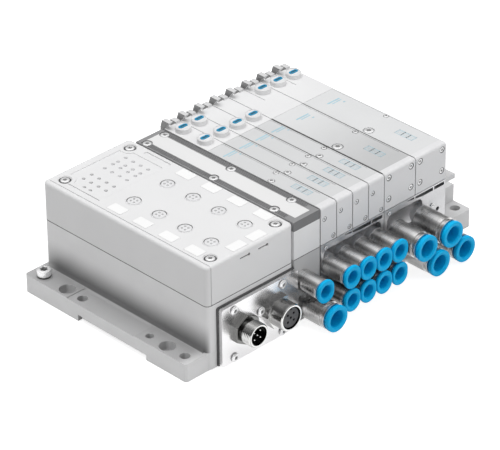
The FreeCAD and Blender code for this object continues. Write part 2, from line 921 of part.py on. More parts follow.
def release_ring(place, tube_r, ring_rx, ring_rz, reach, flange):
    """Release ring with its collet sleeve; it is pushed in along +Y to free the tube."""
    x, z = place
    face = front - reach
    disc = oval_disc(x, z, face, face + flange, ring_rx, ring_rz)
    disc = chamfer_where(disc, 0.35, lambda e: lies_at(e, "y", face))
    collet = rod(x, face + flange, face + flange + release_travel + release_spare + collet_length, z,
                 tube_r + collet_wall + bore_clearance - running_clearance)
    bore = rod(x, face - 1, front, z, tube_r + bore_clearance)
    mouth = Part.makeCone(tube_r + bore_clearance + 0.7, tube_r + bore_clearance, 0.7,
                          Vector(x, face, z), Vector(0, 1, 0))
    return cut(join([disc, collet]), [bore, mouth])


def small_fitting_places():
    """Supply fitting first, then the outlets of the narrow valves, upper before lower."""
    places = [supply_fitting_places()[0]]
    for height in (small_upper_height, small_lower_height):
        for k in range(narrow_valves):
            places.append((row_left + station_pitch * (k + 0.5), height))
    return places


def large_fitting_places():
    """Supply fitting first, then the staggered outlets of the wide valves."""
    places = [supply_fitting_places()[1]]
    for shift, height in ((0, large_upper_height), (large_stagger, large_lower_height)):
        for k in range(wide_valves):
            places.append((wide_left + large_upper_inset + shift + large_pitch * k, height))
    return places


# Sub-bases

def cove(x0, x1):
    """Hollow along the front below the upper lip, with round ends."""
    radius = cove_radius
    height = seat_height - cove_centre_drop
    tube = Part.makeCylinder(radius, x1 - x0, Vector(x0, front - cove_offset, height), Vector(1, 0, 0))
    half = math.sqrt(radius ** 2 - cove_offset ** 2)
    window = rounded_plate(x0, x1, front - 1, front + radius, height - half, height + half, half * 0.6)
    return tube.common(window)


def vents(left):
    """Tapered slot below the upper lip, divided by narrow bars."""
    x0, x1, x2 = [left + inset for inset in vent_insets]
    top = seat_height - vent_drop
    points = [Vector(x0, front - 1, top), Vector(x0, front - 1, top - vent_tip_height),
              Vector(x1, front - 1, top - vent_height), Vector(x2, front - 1, top - vent_height),
              Vector(x2, front - 1, top), Vector(x0, front - 1, top)]
    slot = Part.Face(Part.makePolygon(points)).extrude(Vector(0, vent_depth + 1, 0))
    bars = [block(left + inset - vent_bar_width / 2, left + inset + vent_bar_width / 2, front - 2,
                  front + vent_depth + 1, top - vent_height - 1, top + 1) for inset in vent_bars]
    return cut(slot, bars)


def sub_base(left, length, cove_length, places, tube_r, body_r):
    """Aluminium sub-base: seats for the fittings, cove, vent slots and screw holes."""
    right = left + length
    body = block(left + valve_seam / 2, right - valve_seam / 2, front, front + valve_depth, base_clear,
                 seat_height)
    hollow = cove(left + cove_end_inset, left + cove_end_inset + cove_length)
    for x, z in places:
        hollow = hollow.cut(rod(x, front - 2, front + cove_radius, z, body_r + boss_margin))
    cuts = [hollow, vents(left)]
    for place in places:
        cuts += fitting_holes(place, tube_r)
    for x, z in boss_screw_places():
        if left < x < right:
            cuts.append(rod(x, front - 1, front + hold_thread, z, cap_shank_r + seat_clearance))
    if left > row_left:
        cuts.append(rod(left + side_hole_inset, front - 1, front + side_hole_depth, side_hole_height,
                        side_hole_r))
    for x, y, head_r in hold_screw_places():
        if left < x < right:
            cuts.append(post(x, y, seat_height - hold_thread - seam, seat_height + 1,
                             hold_shank_r + seat_clearance))
    return cut(body, cuts)


def boss_screw_places():
    """Upper left corner of each sub-base's front, and the right end of the wide one."""
    places = [(left + boss_screw_inset, seat_height - boss_screw_drop) for left in (row_left, wide_left)]
    return places + [(wide_left + side_screw_inset, side_screw_height)]


def boss_screws():
    return [front_screw(x, z, front - 0.6, boss_head_r, 0.6, cap_shank_r, hold_thread)
            for x, z in boss_screw_places()]


# Valves

def valve_spans():
    """Left face, width and kind of each valve from left to right."""
    spans = [(row_left + station_pitch * k, station_pitch, "narrow") for k in range(narrow_valves)]
    spans += [(wide_left + wide_pitch * k, wide_pitch, "wide") for k in range(wide_valves)]
    return spans


def spool_sizes(kind, width):
    """Inset of the spool's axis, its radius and its travel."""
    if kind == "narrow":
        return narrow_spool_inset, narrow_spool_r, narrow_spool_travel
    return width / 2, wide_spool_r, wide_spool_travel


def hold_screw_places():
    """Screws that hold the valves on the sub-bases: X, Y and head radius."""
    places = []
    for left, width, kind in valve_spans():
        inset = narrow_hold_inset if kind == "narrow" else wide_hold_inset
        head_r = narrow_hold_head_r if kind == "narrow" else wide_hold_head_r
        places.append((left + inset, front + hold_screw_setback, head_r))
        places.append((left + width - rear_hold_inset,
                       front + hold_screw_setback + hold_screw_rear_step, rear_hold_head_r))
    return places


def cap_screw_places():
    """Screws in the end caps: X, Z and head radius."""
    places = []
    for left, width, kind in valve_spans():
        if kind == "narrow":
            upper, lower = narrow_cap_screw_insets
            places.append((left + upper, top_height - narrow_cap_screw_drop, narrow_cap_head_r))
            places.append((left + lower, seat_height + narrow_cap_screw_rise, narrow_cap_head_r))
            continue
        for x in (left + wide_cap_screw_inset, left + width - wide_cap_screw_inset):
            places.append((x, top_height - wide_cap_screw_drop, wide_cap_head_r))
            places.append((x, seat_height + wide_cap_screw_rise, wide_cap_head_r))
    return places


def valve_body(left, width, kind):
    """Body between the end cap and the pilot unit, with its spool bore right through."""
    x0 = left + valve_seam / 2
    x1 = left + width - valve_seam / 2
    body = block(x0, x1, front + cap_depth, front + pilot_front, seat_height, top_height)
    body = chamfer_where(body, body_chamfer, lambda e: e.Length > width
                         and (lies_at(e, "z", top_height) or lies_at(e, "z", seat_height)))
    inset, radius, travel = spool_sizes(kind, width)
    cuts = [rod(left + inset, front, front + pilot_front + 1, spool_height, radius)]
    cuts.append(block(x0 + print_field_rim, x1 - print_field_rim, front + print_field_front,
                      front + pilot_front + 1, top_height - print_field_depth, top_height + 1))
    for x, y, head_r in hold_screw_places():
        if left < x < left + width:
            cuts.append(post(x, y, 0, top_height + 1, hold_shank_r + bore_clearance))
            cuts.append(post(x, y, top_height + hold_head_proud - hold_head_height, top_height + 1,
                             head_r + bore_clearance))
    for x, z, head_r in cap_screw_places():
        if left < x < left + width:
            cuts.append(rod(x, front, front + cap_screw_length + seam, z, cap_shank_r + seat_clearance))
    return cut(body, cuts)


def end_cap(left, width):
    """Front cap of a valve with a round front edge and sunk screw heads."""
    x0 = left + valve_seam / 2
    x1 = left + width - valve_seam / 2
    cap = block(x0, x1, front, front + cap_depth, seat_height + cap_lift, top_height)
    cap = fillet_where(cap, cap_edge_r, lambda e: lies_at(e, "y", front) and lies_at(e, "z", top_height))
    cap = chamfer_where(cap, body_chamfer, lambda e: is_straight(e) and lies_at(e, "y", front)
                        and not lies_at(e, "z", top_height) and e.BoundBox.ZLength > 1)
    cuts = []
    for x, z, head_r in cap_screw_places():
        if left < x < left + width:
            cuts.append(rod(x, front - 1, front + cap_depth + 1, z, cap_shank_r + bore_clearance))
            cuts.append(rod(x, front - 1, front + cap_head_depth, z, head_r + bore_clearance))
    return cut(cap, cuts)


def spool(left, width, kind):
    """Valve spool at its rest end, with lands that seal in the bore."""
    inset, radius, travel = spool_sizes(kind, width)
    y0 = front + cap_depth + spool_end_gap
    y1 = front + pilot_front - spool_end_gap - travel
    groove_r = radius * spool_groove_share
    step = (y1 - y0) / (spool_lands - spool_land_share)
    pieces = [rod(left + inset, y0, y1, spool_height, groove_r)]
    for k in range(spool_lands):
        start = y0 + step * k * (spool_lands - spool_land_share - spool_land_share) / (spool_lands - 1)
        pieces.append(rod(left + inset, start, start + step * spool_land_share, spool_height,
                          radius - running_clearance))
    return join(pieces)


# Pilot units and manual overrides

def override_places():
    places = []
    for stations, setback in ((front_override_stations, pilot_front + override_front_step),
                              (rear_override_stations, valve_depth - override_rear_inset)):
        for k in stations:
            places.append((row_left + station_pitch * (k + 0.5), front + setback))
    return places


def pilot_unit(left, width):
    """Pilot unit behind the valve body with its rear tabs and the override bores."""
    x0 = left + valve_seam / 2
    x1 = left + width - valve_seam / 2
    rear = front + valve_depth
    pieces = [block(x0, x1, front + pilot_front, rear, seat_height, top_height)]
    cuts = []
    stations = round(width / station_pitch)
    for k in range(stations):
        start = left + station_pitch * k
        pieces.append(rear_tab(start + tab_inset, rear))
        pieces.append(rear_key(start + key_inset, rear))
        if k:
            cuts.append(block(start - station_seam / 2, start + station_seam / 2,
                              rear - station_seam_length, rear + tab_top_length,
                              top_height - station_seam_depth, top_height + tab_rise + 1))
    for x, y in override_places():
        if left < x < left + width:
            cuts.append(plunger_prism(x, y, top_height - plunger_bore_depth, top_height + 1,
                                      running_clearance))
    return cut(join(pieces), cuts)


def rear_tab(x, rear):
    """Tab behind the rear face that rises above the top and leans over it."""
    z = top_height
    top_rear = rear - tab_lean + tab_top_length
    points = [Vector(x, rear - 0.01, z - tab_drop), Vector(x, rear - 0.01, z),
              Vector(x, rear - tab_lean, z + tab_rise), Vector(x, top_rear, z + tab_rise),
              Vector(x, rear + tab_foot_length, z), Vector(x, rear + tab_foot_length, z - tab_drop),
              Vector(x, rear - 0.01, z - tab_drop)]
    return Part.Face(Part.makePolygon(points)).extrude(Vector(tab_width, 0, 0))


def rear_key(x, rear):
    """Low key behind the rear face that laps over the top's edge."""
    y1 = rear - key_lap + key_length
    z1 = top_height + key_rise
    lap = block(x, x + key_width, rear - key_lap, y1, top_height, z1)
    return join([lap, block(x, x + key_width, rear - 0.01, y1, top_height - tab_drop, z1)])


def plunger_prism(x, y, z0, z1, extra):
    """Upright prism with round ends, long along X."""
    radius = plunger_width / 2 + extra
    half = plunger_length / 2 + extra
    return rounded_block(x - half, x + half, y - radius, y + radius, z0, z1, radius - 0.01)


def override_collar(x, y):
    """Round collar that guards the override, with a shallow dish in its top."""
    top = top_height + collar_height
    collar = post(x, y, top_height, top, collar_r)
    collar = chamfer_where(collar, 0.5, lambda e: lies_at(e, "z", top))
    return cut(collar, [plunger_prism(x, y, top_height - 1, top + 1, running_clearance),
                        post(x, y, top - collar_recess_depth, top + 1, collar_recess_r)])


def override_plunger(x, y):
    """Slotted plunger that is pressed down by the travel to switch the valve."""
    top = top_height + collar_height - plunger_drop
    bottom = top_height - plunger_bore_depth + plunger_travel + release_spare
    slot = block(x - plunger_slot_length / 2, x + plunger_slot_length / 2, y - plunger_slot / 2,
                 y + plunger_slot / 2, top - plunger_slot_depth, top + 1)
    return plunger_prism(x, y, bottom, top, 0).cut(slot)


# End plate

def end_plate():
    """Right end plate: wall with a top flange, and a foot with bosses at its holes."""
    y1 = front + housing_depth + foot_rear_overhang
    rear = front + valve_depth
    x0 = row_right + seam / 2
    foot = block(x0, end_right, front + foot_front_setback, y1, 0, foot_height)
    foot = fillet_where(foot, edge_r, lambda e: lies_at(e, "x", end_right) and e.BoundBox.ZLength > 1)
    side = block(x0, x0 + end_wall, front + end_wall_setback, rear, 0, seat_height)
    flange = block(x0, x0 + end_wall, front + seam, rear, seat_height - end_flange_thickness, seat_height)
    pieces = [foot, side, flange]
    cuts = []
    for y in (-mount_hole_spacing / 2, mount_hole_spacing / 2):
        pieces.append(block(x0 + end_wall - 1, end_right, y - end_boss_length / 2,
                            y + end_boss_length / 2, foot_height - 1, end_boss_height))
        cuts.append(post(right_hole, y, -1, end_boss_height + 1, mount_hole_r))
    for setback in (front_plain_setback, rear_plain_setback):
        cuts.append(post(right_hole, front + setback, -1, end_boss_height + 1, plain_hole_r))
    cuts.append(block(x0 + end_wall, end_right + 1, front + foot_relief_span[0],
                      front + foot_relief_span[1], -1, foot_relief))
    return cut(join(pieces), cuts)


def housing_screws():
    screws = [pan_screw(x, y, top_height, screw_head_r, screw_head_height, screw_shank_r, cover_screw_length)
              for x, y in cover_screw_places()]
    screws += [pan_screw(x, y, top_height, screw_head_r, screw_head_height, screw_shank_r, strip_screw_length)
               for x, y in strip_screw_places()]
    return screws


def small_screws():
    """Panel screws, cap screws, sub-base screws and the screws that hold the valves."""
    screws = boss_screws()
    for x, z in panel_screw_places():
        screws.append(front_screw(x, z, panel_face - hold_head_height, panel_screw_head_r,
                                  hold_head_height, cap_shank_r, cap_screw_length - 1.4))
    for x, z, head_r in cap_screw_places():
        screws.append(front_screw(x, z, front + seam / 2, head_r, cap_head_depth - seam / 2,
                                  cap_shank_r, cap_screw_length))
    for x, y, head_r in hold_screw_places():
        length = top_height + hold_head_proud - seat_height + hold_thread
        screws.append(pan_screw(x, y, top_height + hold_head_proud, head_r, hold_head_height,
                                hold_shank_r, length))
    return screws


def light_pipes():
    z1 = top_height - field_depth
    return [post(x, y, z1 - window_length, z1, window_r) for x, y in window_places()]


def label_plates():
    z0 = top_height - label_pocket
    plates = [label_plate(x, y, width, length, z0, z0 + label_thickness, 0)
              for x, y, width, length in label_places()]
    return plates + [strip_label(0)]


def write_fixed_nodes():
    small = small_fitting_places()
    large = large_fitting_places()
    save("electronics_base", electronics_base())
    save("electronics_cover", electronics_cover())
    save("label_plates", label_plates())
    save("light_pipes", light_pipes())
    save("sensor_sockets", [sensor_socket(x, y) for x, y in socket_places()])
    save("circuit_board", circuit_board())
    save("connector_panel", connector_panel())
    save("panel_gasket", panel_gasket())
    save("plug_shell", plug_shell())
    save("plug_insert", plug_insert())
    save("socket_shell", socket_shell())
    save("socket_insert", socket_insert())
    save("supply_block", supply_block())
    save("label_frame", label_frame())
    save("subbase_narrow", sub_base(row_left, narrow_length, narrow_length - 2 * cove_end_inset,
                                    small[1:], small_tube_r, small_body_r))
    save("subbase_wide", sub_base(wide_left, wide_length, wide_cove_length, large[1:],
                                  large_tube_r, large_body_r))
    save("end_plate", end_plate())
    save("fitting_bodies_6mm", [fitting_body(place, small_tube_r, small_body_r, small_reach, small_flange,
                                             small_groove) for place in small])
    save("fitting_bodies_8mm", [fitting_body(place, large_tube_r, large_body_r, large_reach, large_flange,
                                             large_groove) for place in large])
    save("valve_end_caps", [end_cap(left, width) for left, width, kind in valve_spans()])
    save("pilot_units", [pilot_unit(left, width) for left, width, kind in valve_spans()])
    save("override_collars", [override_collar(x, y) for x, y in override_places()])
    save("earth_screw", earth_screw())
    save("housing_screws", housing_screws())
    save("small_screws", small_screws())


def write_moving_nodes():
    for k, (left, width, kind) in enumerate(valve_spans(), 1):
        save("valve_body_%d" % k, valve_body(left, width, kind))
        save("spool_%d" % k, spool(left, width, kind))
    for k, place in enumerate(small_fitting_places(), 1):
        save("release_ring_small_%d" % k,
             release_ring(place, small_tube_r, small_ring_rx, small_ring_rz, small_reach, small_flange))
    for k, place in enumerate(large_fitting_places(), 1):
        save("release_ring_large_%d" % k,
             release_ring(place, large_tube_r, large_ring_r, large_ring_r, large_reach, large_flange))
    for k, (x, y) in enumerate(override_places(), 1):
        save("override_plunger_%d" % k, override_plunger(x, y))


os.makedirs("parts", exist_ok=True)
write_fixed_nodes()
write_moving_nodes()
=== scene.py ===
# %% [markdown]
# # A pneumatic valve island, dressed for its photograph
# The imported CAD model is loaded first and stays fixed: it gives every place and size.
# Each later cell adds a finish to a CAD node, or a finer piece that stands for one.

# %% Load the frame
import json
import math

import bmesh
import bpy
from mathutils import Matrix, Vector


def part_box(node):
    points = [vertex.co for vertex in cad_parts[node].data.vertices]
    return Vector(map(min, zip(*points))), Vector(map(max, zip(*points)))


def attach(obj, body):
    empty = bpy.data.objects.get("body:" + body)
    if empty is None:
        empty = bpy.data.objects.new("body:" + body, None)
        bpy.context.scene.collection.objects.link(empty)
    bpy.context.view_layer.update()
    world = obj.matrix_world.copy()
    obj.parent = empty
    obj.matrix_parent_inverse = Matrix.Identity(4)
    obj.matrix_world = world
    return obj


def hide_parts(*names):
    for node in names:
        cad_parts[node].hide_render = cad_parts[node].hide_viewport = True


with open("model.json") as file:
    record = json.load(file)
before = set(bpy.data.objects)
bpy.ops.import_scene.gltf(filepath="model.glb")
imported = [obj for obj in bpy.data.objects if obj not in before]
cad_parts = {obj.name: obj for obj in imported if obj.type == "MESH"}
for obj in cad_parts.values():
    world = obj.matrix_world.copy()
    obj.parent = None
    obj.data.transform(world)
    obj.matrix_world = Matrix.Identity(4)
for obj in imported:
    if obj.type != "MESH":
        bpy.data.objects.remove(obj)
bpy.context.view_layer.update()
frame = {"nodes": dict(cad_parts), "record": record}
MM = 0.001

# %% [markdown]
# The camera stands where the photograph was taken, far off with a long lens, so that the
# edges run almost parallel. Its three axes were worked out from the vanishing lines.

# %% Camera
CAMERA_PLACE = Vector((-0.93386, -0.95556, 0.84331))
CAMERA_RIGHT = Vector((0.71258, -0.70153, -0.00938))
CAMERA_UP = Vector((0.37391, 0.36842, 0.85115))
camera_data = bpy.data.cameras.new("camera")
camera_data.sensor_width = 36.0
camera_data.lens = 3356.2 / 500 * 36.0
camera_data.clip_end = 50.0
camera = bpy.data.objects.new("camera", camera_data)
bpy.context.scene.collection.objects.link(camera)
axes = Matrix((CAMERA_RIGHT, CAMERA_UP, CAMERA_RIGHT.cross(CAMERA_UP))).transposed()
camera.matrix_world = Matrix.Translation(CAMERA_PLACE) @ axes.to_4x4()
bpy.context.scene.camera = camera
bpy.context.scene.view_settings.view_transform = "Standard"
print("lens %.1f mm" % camera_data.lens)

# %% [markdown]
# Materials are small networks of nodes. These helpers add a node and feed its inputs with
# numbers or with other nodes, so that each finish below reads like a short recipe.

# %% Helpers for materials


def add(tree, kind, values=None, **settings):
    """Adds a node with its settings. Each value is a number, or another node's output,
    for the input of that name or position."""
    node = tree.nodes.new(kind)
    for name, value in settings.items():
        setattr(node, name, value)
    for name, value in (values or {}).items():
        if isinstance(value, bpy.types.NodeSocket):
            tree.links.new(value, node.inputs[name])
        else:
            node.inputs[name].default_value = value
    return node


def new_finish(name):
    """An empty material with its shader and the object's own coordinates."""
    material = bpy.data.materials.new(name)
    material.use_nodes = True
    tree = material.node_tree
    tree.nodes.clear()
    shader = add(tree, "ShaderNodeBsdfPrincipled")
    place = add(tree, "ShaderNodeTexCoord")
    add(tree, "ShaderNodeOutputMaterial", {"Surface": shader.outputs["BSDF"]})
    return material, tree, shader, place.outputs["Object"]


def stretched(tree, place, scale):
    """Coordinates drawn out along an axis, for grain that runs one way."""
    return add(tree, "ShaderNodeMapping", {"Vector": place, "Scale": scale}).outputs["Vector"]


def noise(tree, place, scale, detail=3.0, rough=0.5):
    return add(tree, "ShaderNodeTexNoise", {"Vector": place, "Scale": scale, "Detail": detail,
                                            "Roughness": rough}).outputs["Fac"]


def ranged(tree, value, low, high, start=0.3, end=0.7, **settings):
    """Turns a pattern's values from start to end into values from low to high."""
    return add(tree, "ShaderNodeMapRange", {"Value": value, "From Min": start, "From Max": end,
                                            "To Min": low, "To Max": high}, **settings).outputs["Result"]


def tinted(tree, value, dark, light):
    """Mixes two colours by a pattern."""
    return add(tree, "ShaderNodeMix", {"Factor": value, "A": (*dark, 1.0), "B": (*light, 1.0)},
               data_type="RGBA").outputs["Result"]


EDGE = 0.00015


def relief(tree, shader, height, distance):
    """Bump from a pattern, on top of softly rounded edges."""
    soft = add(tree, "ShaderNodeBevel", {"Radius": EDGE}, samples=4)
    bump = add(tree, "ShaderNodeBump", {"Height": height, "Distance": distance,
                                        "Normal": soft.outputs["Normal"]})
    tree.links.new(bump.outputs["Normal"], shader.inputs["Normal"])


def shade(colour, factor):
    return tuple(min(1.0, part * factor) for part in colour)


def along(tree, coordinates, axis, start, end, low, high):
    """A value that goes smoothly from low to high between two places, in metres."""
    parts = add(tree, "ShaderNodeSeparateXYZ", {0: coordinates.outputs["Object"]})
    return ranged(tree, parts.outputs[axis], low, high, start, end, interpolation_type="SMOOTHSTEP")


def blended(tree, first, second, factor):
    """Mixes two values; each may be a number or an output of another node."""
    return add(tree, "ShaderNodeMix", {0: factor, 2: first, 3: second}, data_type="FLOAT").outputs[0]


def dimmed(tree, shader, factor):
    """Scales the base colour that already reaches the shader."""
    source = shader.inputs["Base Color"].links[0].from_socket
    scale = add(tree, "ShaderNodeVectorMath", {0: source, "Scale": factor}, operation="SCALE")
    tree.links.new(scale.outputs["Vector"], shader.inputs["Base Color"])


FINISHES = {}


def parts_of(name):
    """The tree, shader and coordinates of a finish that is being refined."""
    tree = FINISHES[name].node_tree
    kinds = {node.type: node for node in tree.nodes}
    return tree, kinds["BSDF_PRINCIPLED"], kinds["TEX_COORD"]


def towards(tree, coordinates, direction):
    """How far the surface faces a direction: one when it faces it fully."""
    return add(tree, "ShaderNodeVectorMath", {0: coordinates.outputs["Normal"], 1: direction},
               operation="DOT_PRODUCT").outputs["Value"]


def clouded(tree, shader, pattern, colour, spread):
    """Gives the shader a base colour that is faintly cloudy."""
    colours = tinted(tree, ranged(tree, pattern, 0.0, 1.0), shade(colour, 1 - spread),
                     shade(colour, 1 + spread))
    tree.links.new(colours, shader.inputs["Base Color"])


def moulded(name, colour, rough, grain=2600.0, depth=0.00002, spread=0.05, coat=0.0):
    """Moulded or painted surface: a fine even texture and a faint cloudiness."""
    FINISHES[name], tree, shader, place = new_finish(name)
    clouded(tree, shader, noise(tree, place, 60.0, 4.0), colour, spread)
    fine = noise(tree, place, grain, 2.0)
    tree.links.new(ranged(tree, fine, rough - 0.06, rough + 0.06), shader.inputs["Roughness"])
    shader.inputs["Coat Weight"].default_value = coat
    relief(tree, shader, fine, depth)


def metallic(name, colour, rough, scale=(1.0, 1.0, 1.0), grain=3000.0, depth=0.00001, spread=0.02,
             metal=1.0):
    """Bare metal: grain drawn out along the way it was brushed, rolled or turned."""
    FINISHES[name], tree, shader, place = new_finish(name)
    lines = noise(tree, stretched(tree, place, scale), grain, 4.0, 0.6)
    clouded(tree, shader, noise(tree, place, 80.0, 3.0), colour, spread)
    tree.links.new(ranged(tree, lines, rough * 0.7, rough * 1.4), shader.inputs["Roughness"])
    shader.inputs["Metallic"].default_value = metal
    relief(tree, shader, lines, depth)


# %% [markdown]
# Each slot of the record gets its finish here: fine-grained paint on the castings, matt
# moulded plastic on the cover, anodised aluminium, plated brass and pressed steel.

# %% Finishes
CAST = {"grain": 1900.0, "depth": 0.00003, "spread": 0.03}
moulded("housing_cast", (0.77, 0.77, 0.775), 0.42, **CAST)
moulded("supply_cast", (0.78, 0.78, 0.785), 0.42, **CAST)
moulded("end_grey", (0.62, 0.62, 0.625), 0.42, **CAST)
moulded("cover_grey", (0.74, 0.74, 0.745), 0.45, grain=3200.0, spread=0.012)
moulded("black_plastic", (0.035, 0.035, 0.038), 0.4, spread=0.08)
moulded("frame_charcoal", (0.26, 0.26, 0.265), 0.4, spread=0.06)
for name, colour in (("valve_grey", (0.62, 0.625, 0.63)), ("wide_valve_grey", (0.69, 0.695, 0.70)),
                     ("end_valve_grey", (0.68, 0.685, 0.69))):
    moulded(name, colour, 0.38, grain=2200.0, depth=0.00001, spread=0.02)
moulded("cap_grey", (0.72, 0.72, 0.73), 0.4, spread=0.02)
moulded("pilot_white", (0.76, 0.76, 0.765), 0.42, grain=2800.0, spread=0.015)
moulded("label_white", (0.86, 0.86, 0.86), 0.5, grain=1500.0, depth=0.000005, spread=0.01)
moulded("window_clear", (0.50, 0.50, 0.505), 0.25, grain=2000.0, depth=0.000005, coat=0.3)
moulded("ring_blue", (0.0, 0.43, 0.80), 0.5, grain=2400.0, depth=0.000006, spread=0.03)
moulded("board_green", (0.03, 0.16, 0.07), 0.45, grain=700.0, depth=0.00005, spread=0.3)
moulded("gasket_black", (0.09, 0.09, 0.092), 0.6, grain=1500.0, depth=0.00003, spread=0.2)
moulded("rim_grey", (0.60, 0.60, 0.61), 0.35, depth=0.00001)
# contact_dark colours dark contacts and seals, and also painted shade in slots, gaps and recesses.
moulded("contact_dark", (0.06, 0.06, 0.06), 0.4, depth=0.00001)
# recess_grey colours painted shade in recesses and gaps.
moulded("recess_grey", (0.20, 0.20, 0.20), 0.5, depth=0.00001)
moulded("plunger_blue", (0.01, 0.26, 0.46), 0.45, grain=2400.0, depth=0.000006, spread=0.03)
moulded("print_blue", (0.38, 0.58, 0.66), 0.5, depth=0.000002)
BRUSHED, TURNED, ROLLED = (1.0, 0.06, 1.0), (0.05, 1.0, 0.05), (1.0, 1.0, 0.2)
metallic("block_aluminium", (0.62, 0.62, 0.63), 0.42, BRUSHED, grain=2400.0, depth=0.000004, spread=0.08)
metallic("nickel", (0.74, 0.74, 0.73), 0.18, TURNED, depth=0.0000006, spread=0.03)
metallic("nut_nickel", (0.20, 0.20, 0.195), 0.22, TURNED, depth=0.0000003)
metallic("socket_nickel", (0.74, 0.74, 0.73), 0.18, TURNED, depth=0.0000003)
metallic("sleeve_nickel", (0.96, 0.955, 0.95), 0.30, TURNED, depth=0.0000003)
metallic("steel", (0.90, 0.90, 0.905), 0.3, grain=1400.0, depth=0.000002, spread=0.04, metal=0.55)
metallic("panel_steel", (0.75, 0.745, 0.75), 0.24, ROLLED, depth=0.0000001, spread=0.01)
tree, shader, coordinates = parts_of("panel_steel")
tree.links.remove(shader.inputs["Roughness"].links[0])
shader.inputs["Roughness"].default_value = 0.24
parts_of("ring_blue")[1].inputs["Specular IOR Level"].default_value = 0.2
print("finishes", len(FINISHES))

# %% [markdown]
# Some finishes change along the part, as the light in the photograph does. These helpers
# find end faces and give a level of brightness to each angle round an axis.

# %% Helpers for finishes that change


def end_face(tree, coordinates):
    """One on faces across the axis of a part that lies along Y, else zero."""
    node = add(tree, "ShaderNodeMath", {0: towards(tree, coordinates, (0, 1, 0))}, operation="ABSOLUTE")
    return ranged(tree, node.outputs[0], 0.0, 1.0, 0.6, 0.8)


def stepped(tree, value, stops):
    """A value led through places and levels, joined by straight lines."""
    node = add(tree, "ShaderNodeFloatCurve", {"Value": value})
    curve = node.mapping.curves[0]
    curve.points[0].location, curve.points[1].location = stops[0], stops[-1]
    for stop in stops[1:-1]:
        curve.points.new(*stop)
    for point in curve.points:
        point.handle_type = "VECTOR"
    node.mapping.update()
    return node.outputs["Value"]


def round_the_axis(tree, coordinates, levels):
    """Levels at angles, in degrees from the top over the left, round an axis along Y."""
    parts = add(tree, "ShaderNodeSeparateXYZ", {0: coordinates.outputs["Normal"]})
    left = add(tree, "ShaderNodeMath", {0: parts.outputs["X"], 1: -1.0}, operation="MULTIPLY")
    angle = add(tree, "ShaderNodeMath", {0: left.outputs[0], 1: parts.outputs["Z"]}, operation="ARCTAN2")
    share = ranged(tree, angle.outputs[0], 0.0, 1.0, -math.pi, math.pi)
    return stepped(tree, share, [((degrees + 180) / 360, level) for degrees, level in levels])


print("helpers ready")

# %% [markdown]
# A plated part shows bright and dark stripes along its axis: painted reflections in its base
# colour. Each pair is an angle and a share of the full brightness. The sleeves are painted a
# little lighter at their roots, which would drown in the block's shade.

# %% Painted reflection stripes on plated parts
SLEEVE_PAINTED_REFLECTIONS = ((-180, 0.3), (-60, 0.4), (-40, 0.46), (-10, 0.50), (0, 0.50), (8, 0.72), (15, 0.97),
                 (20, 1.0), (27, 0.92), (34, 0.50), (42, 0.28), (50, 0.26), (58, 0.55), (66, 0.75),
                 (76, 0.62), (88, 0.42), (100, 0.34), (180, 0.3))
PLUG_PAINTED_REFLECTIONS = ((-180, 0.4), (-30, 0.5), (-20, 0.42), (-10, 0.28), (0, 0.2), (10, 0.32), (17, 0.72),
               (23, 0.75), (30, 0.42), (40, 0.13), (50, 0.10), (66, 0.11), (78, 0.28), (110, 0.36),
               (180, 0.4))
SOCKET_PAINTED_REFLECTIONS = ((-180, 0.4), (-20, 0.4), (0, 0.42), (30, 0.3), (40, 0.17), (50, 0.2), (60, 0.75),
                 (75, 0.7), (95, 0.5), (110, 0.45), (180, 0.4))
ROOT_PAINTED_LIGHT = (-0.0590, -0.0530, 1.0, 1.35)


def paint_reflection_stripes(name, levels, ends, lift=None):
    """Paints reflection stripes into a finish's base colour; ends is the painted level of the faces across
    the axis.
    """
    tree, shader, coordinates = parts_of(name)
    reflection_levels = round_the_axis(tree, coordinates, levels)
    if lift:
        values = {0: reflection_levels, 1: along(tree, coordinates, "Y", *lift)}
        reflection_levels = add(tree, "ShaderNodeMath", values, operation="MULTIPLY", use_clamp=True).outputs[0]
    dimmed(tree, shader, blended(tree, reflection_levels, ends, end_face(tree, coordinates)))


# Painted reflections and painted light: stripes, end faces and lighter roots are set in the base colour.
paint_reflection_stripes("sleeve_nickel", SLEEVE_PAINTED_REFLECTIONS, 0.75, ROOT_PAINTED_LIGHT)
paint_reflection_stripes("nickel", PLUG_PAINTED_REFLECTIONS, 0.9)
paint_reflection_stripes("socket_nickel", SOCKET_PAINTED_REFLECTIONS, 0.9)
print("stops", len(SLEEVE_PAINTED_REFLECTIONS), len(PLUG_PAINTED_REFLECTIONS), len(SOCKET_PAINTED_REFLECTIONS))

# %% [markdown]
# Painted shade: the housing wall darkens towards the foot, and the foot away from its front
# corner. The hollow fronts of the sub-bases are darker than the rest of the blocks, the
# charcoal frame is darker on its front faces, the supply block is darker below its seam,
# and the pilot units' tabs are darker on their left sides. Some labels and the wide valve
# also change in tone along the part.

# %% Painted shade on castings and mouldings
TO_FRONT, TO_LEFT = (0, -1, 0), (-1, 0, 0)
FOOT_TOP, SUPPLY_SEAM, PILOT_TOP = 0.0093, 0.0344, 0.0545
WALL_X, WIDE_X, COVE_END_X = -0.0811, 0.0325, 0.0575
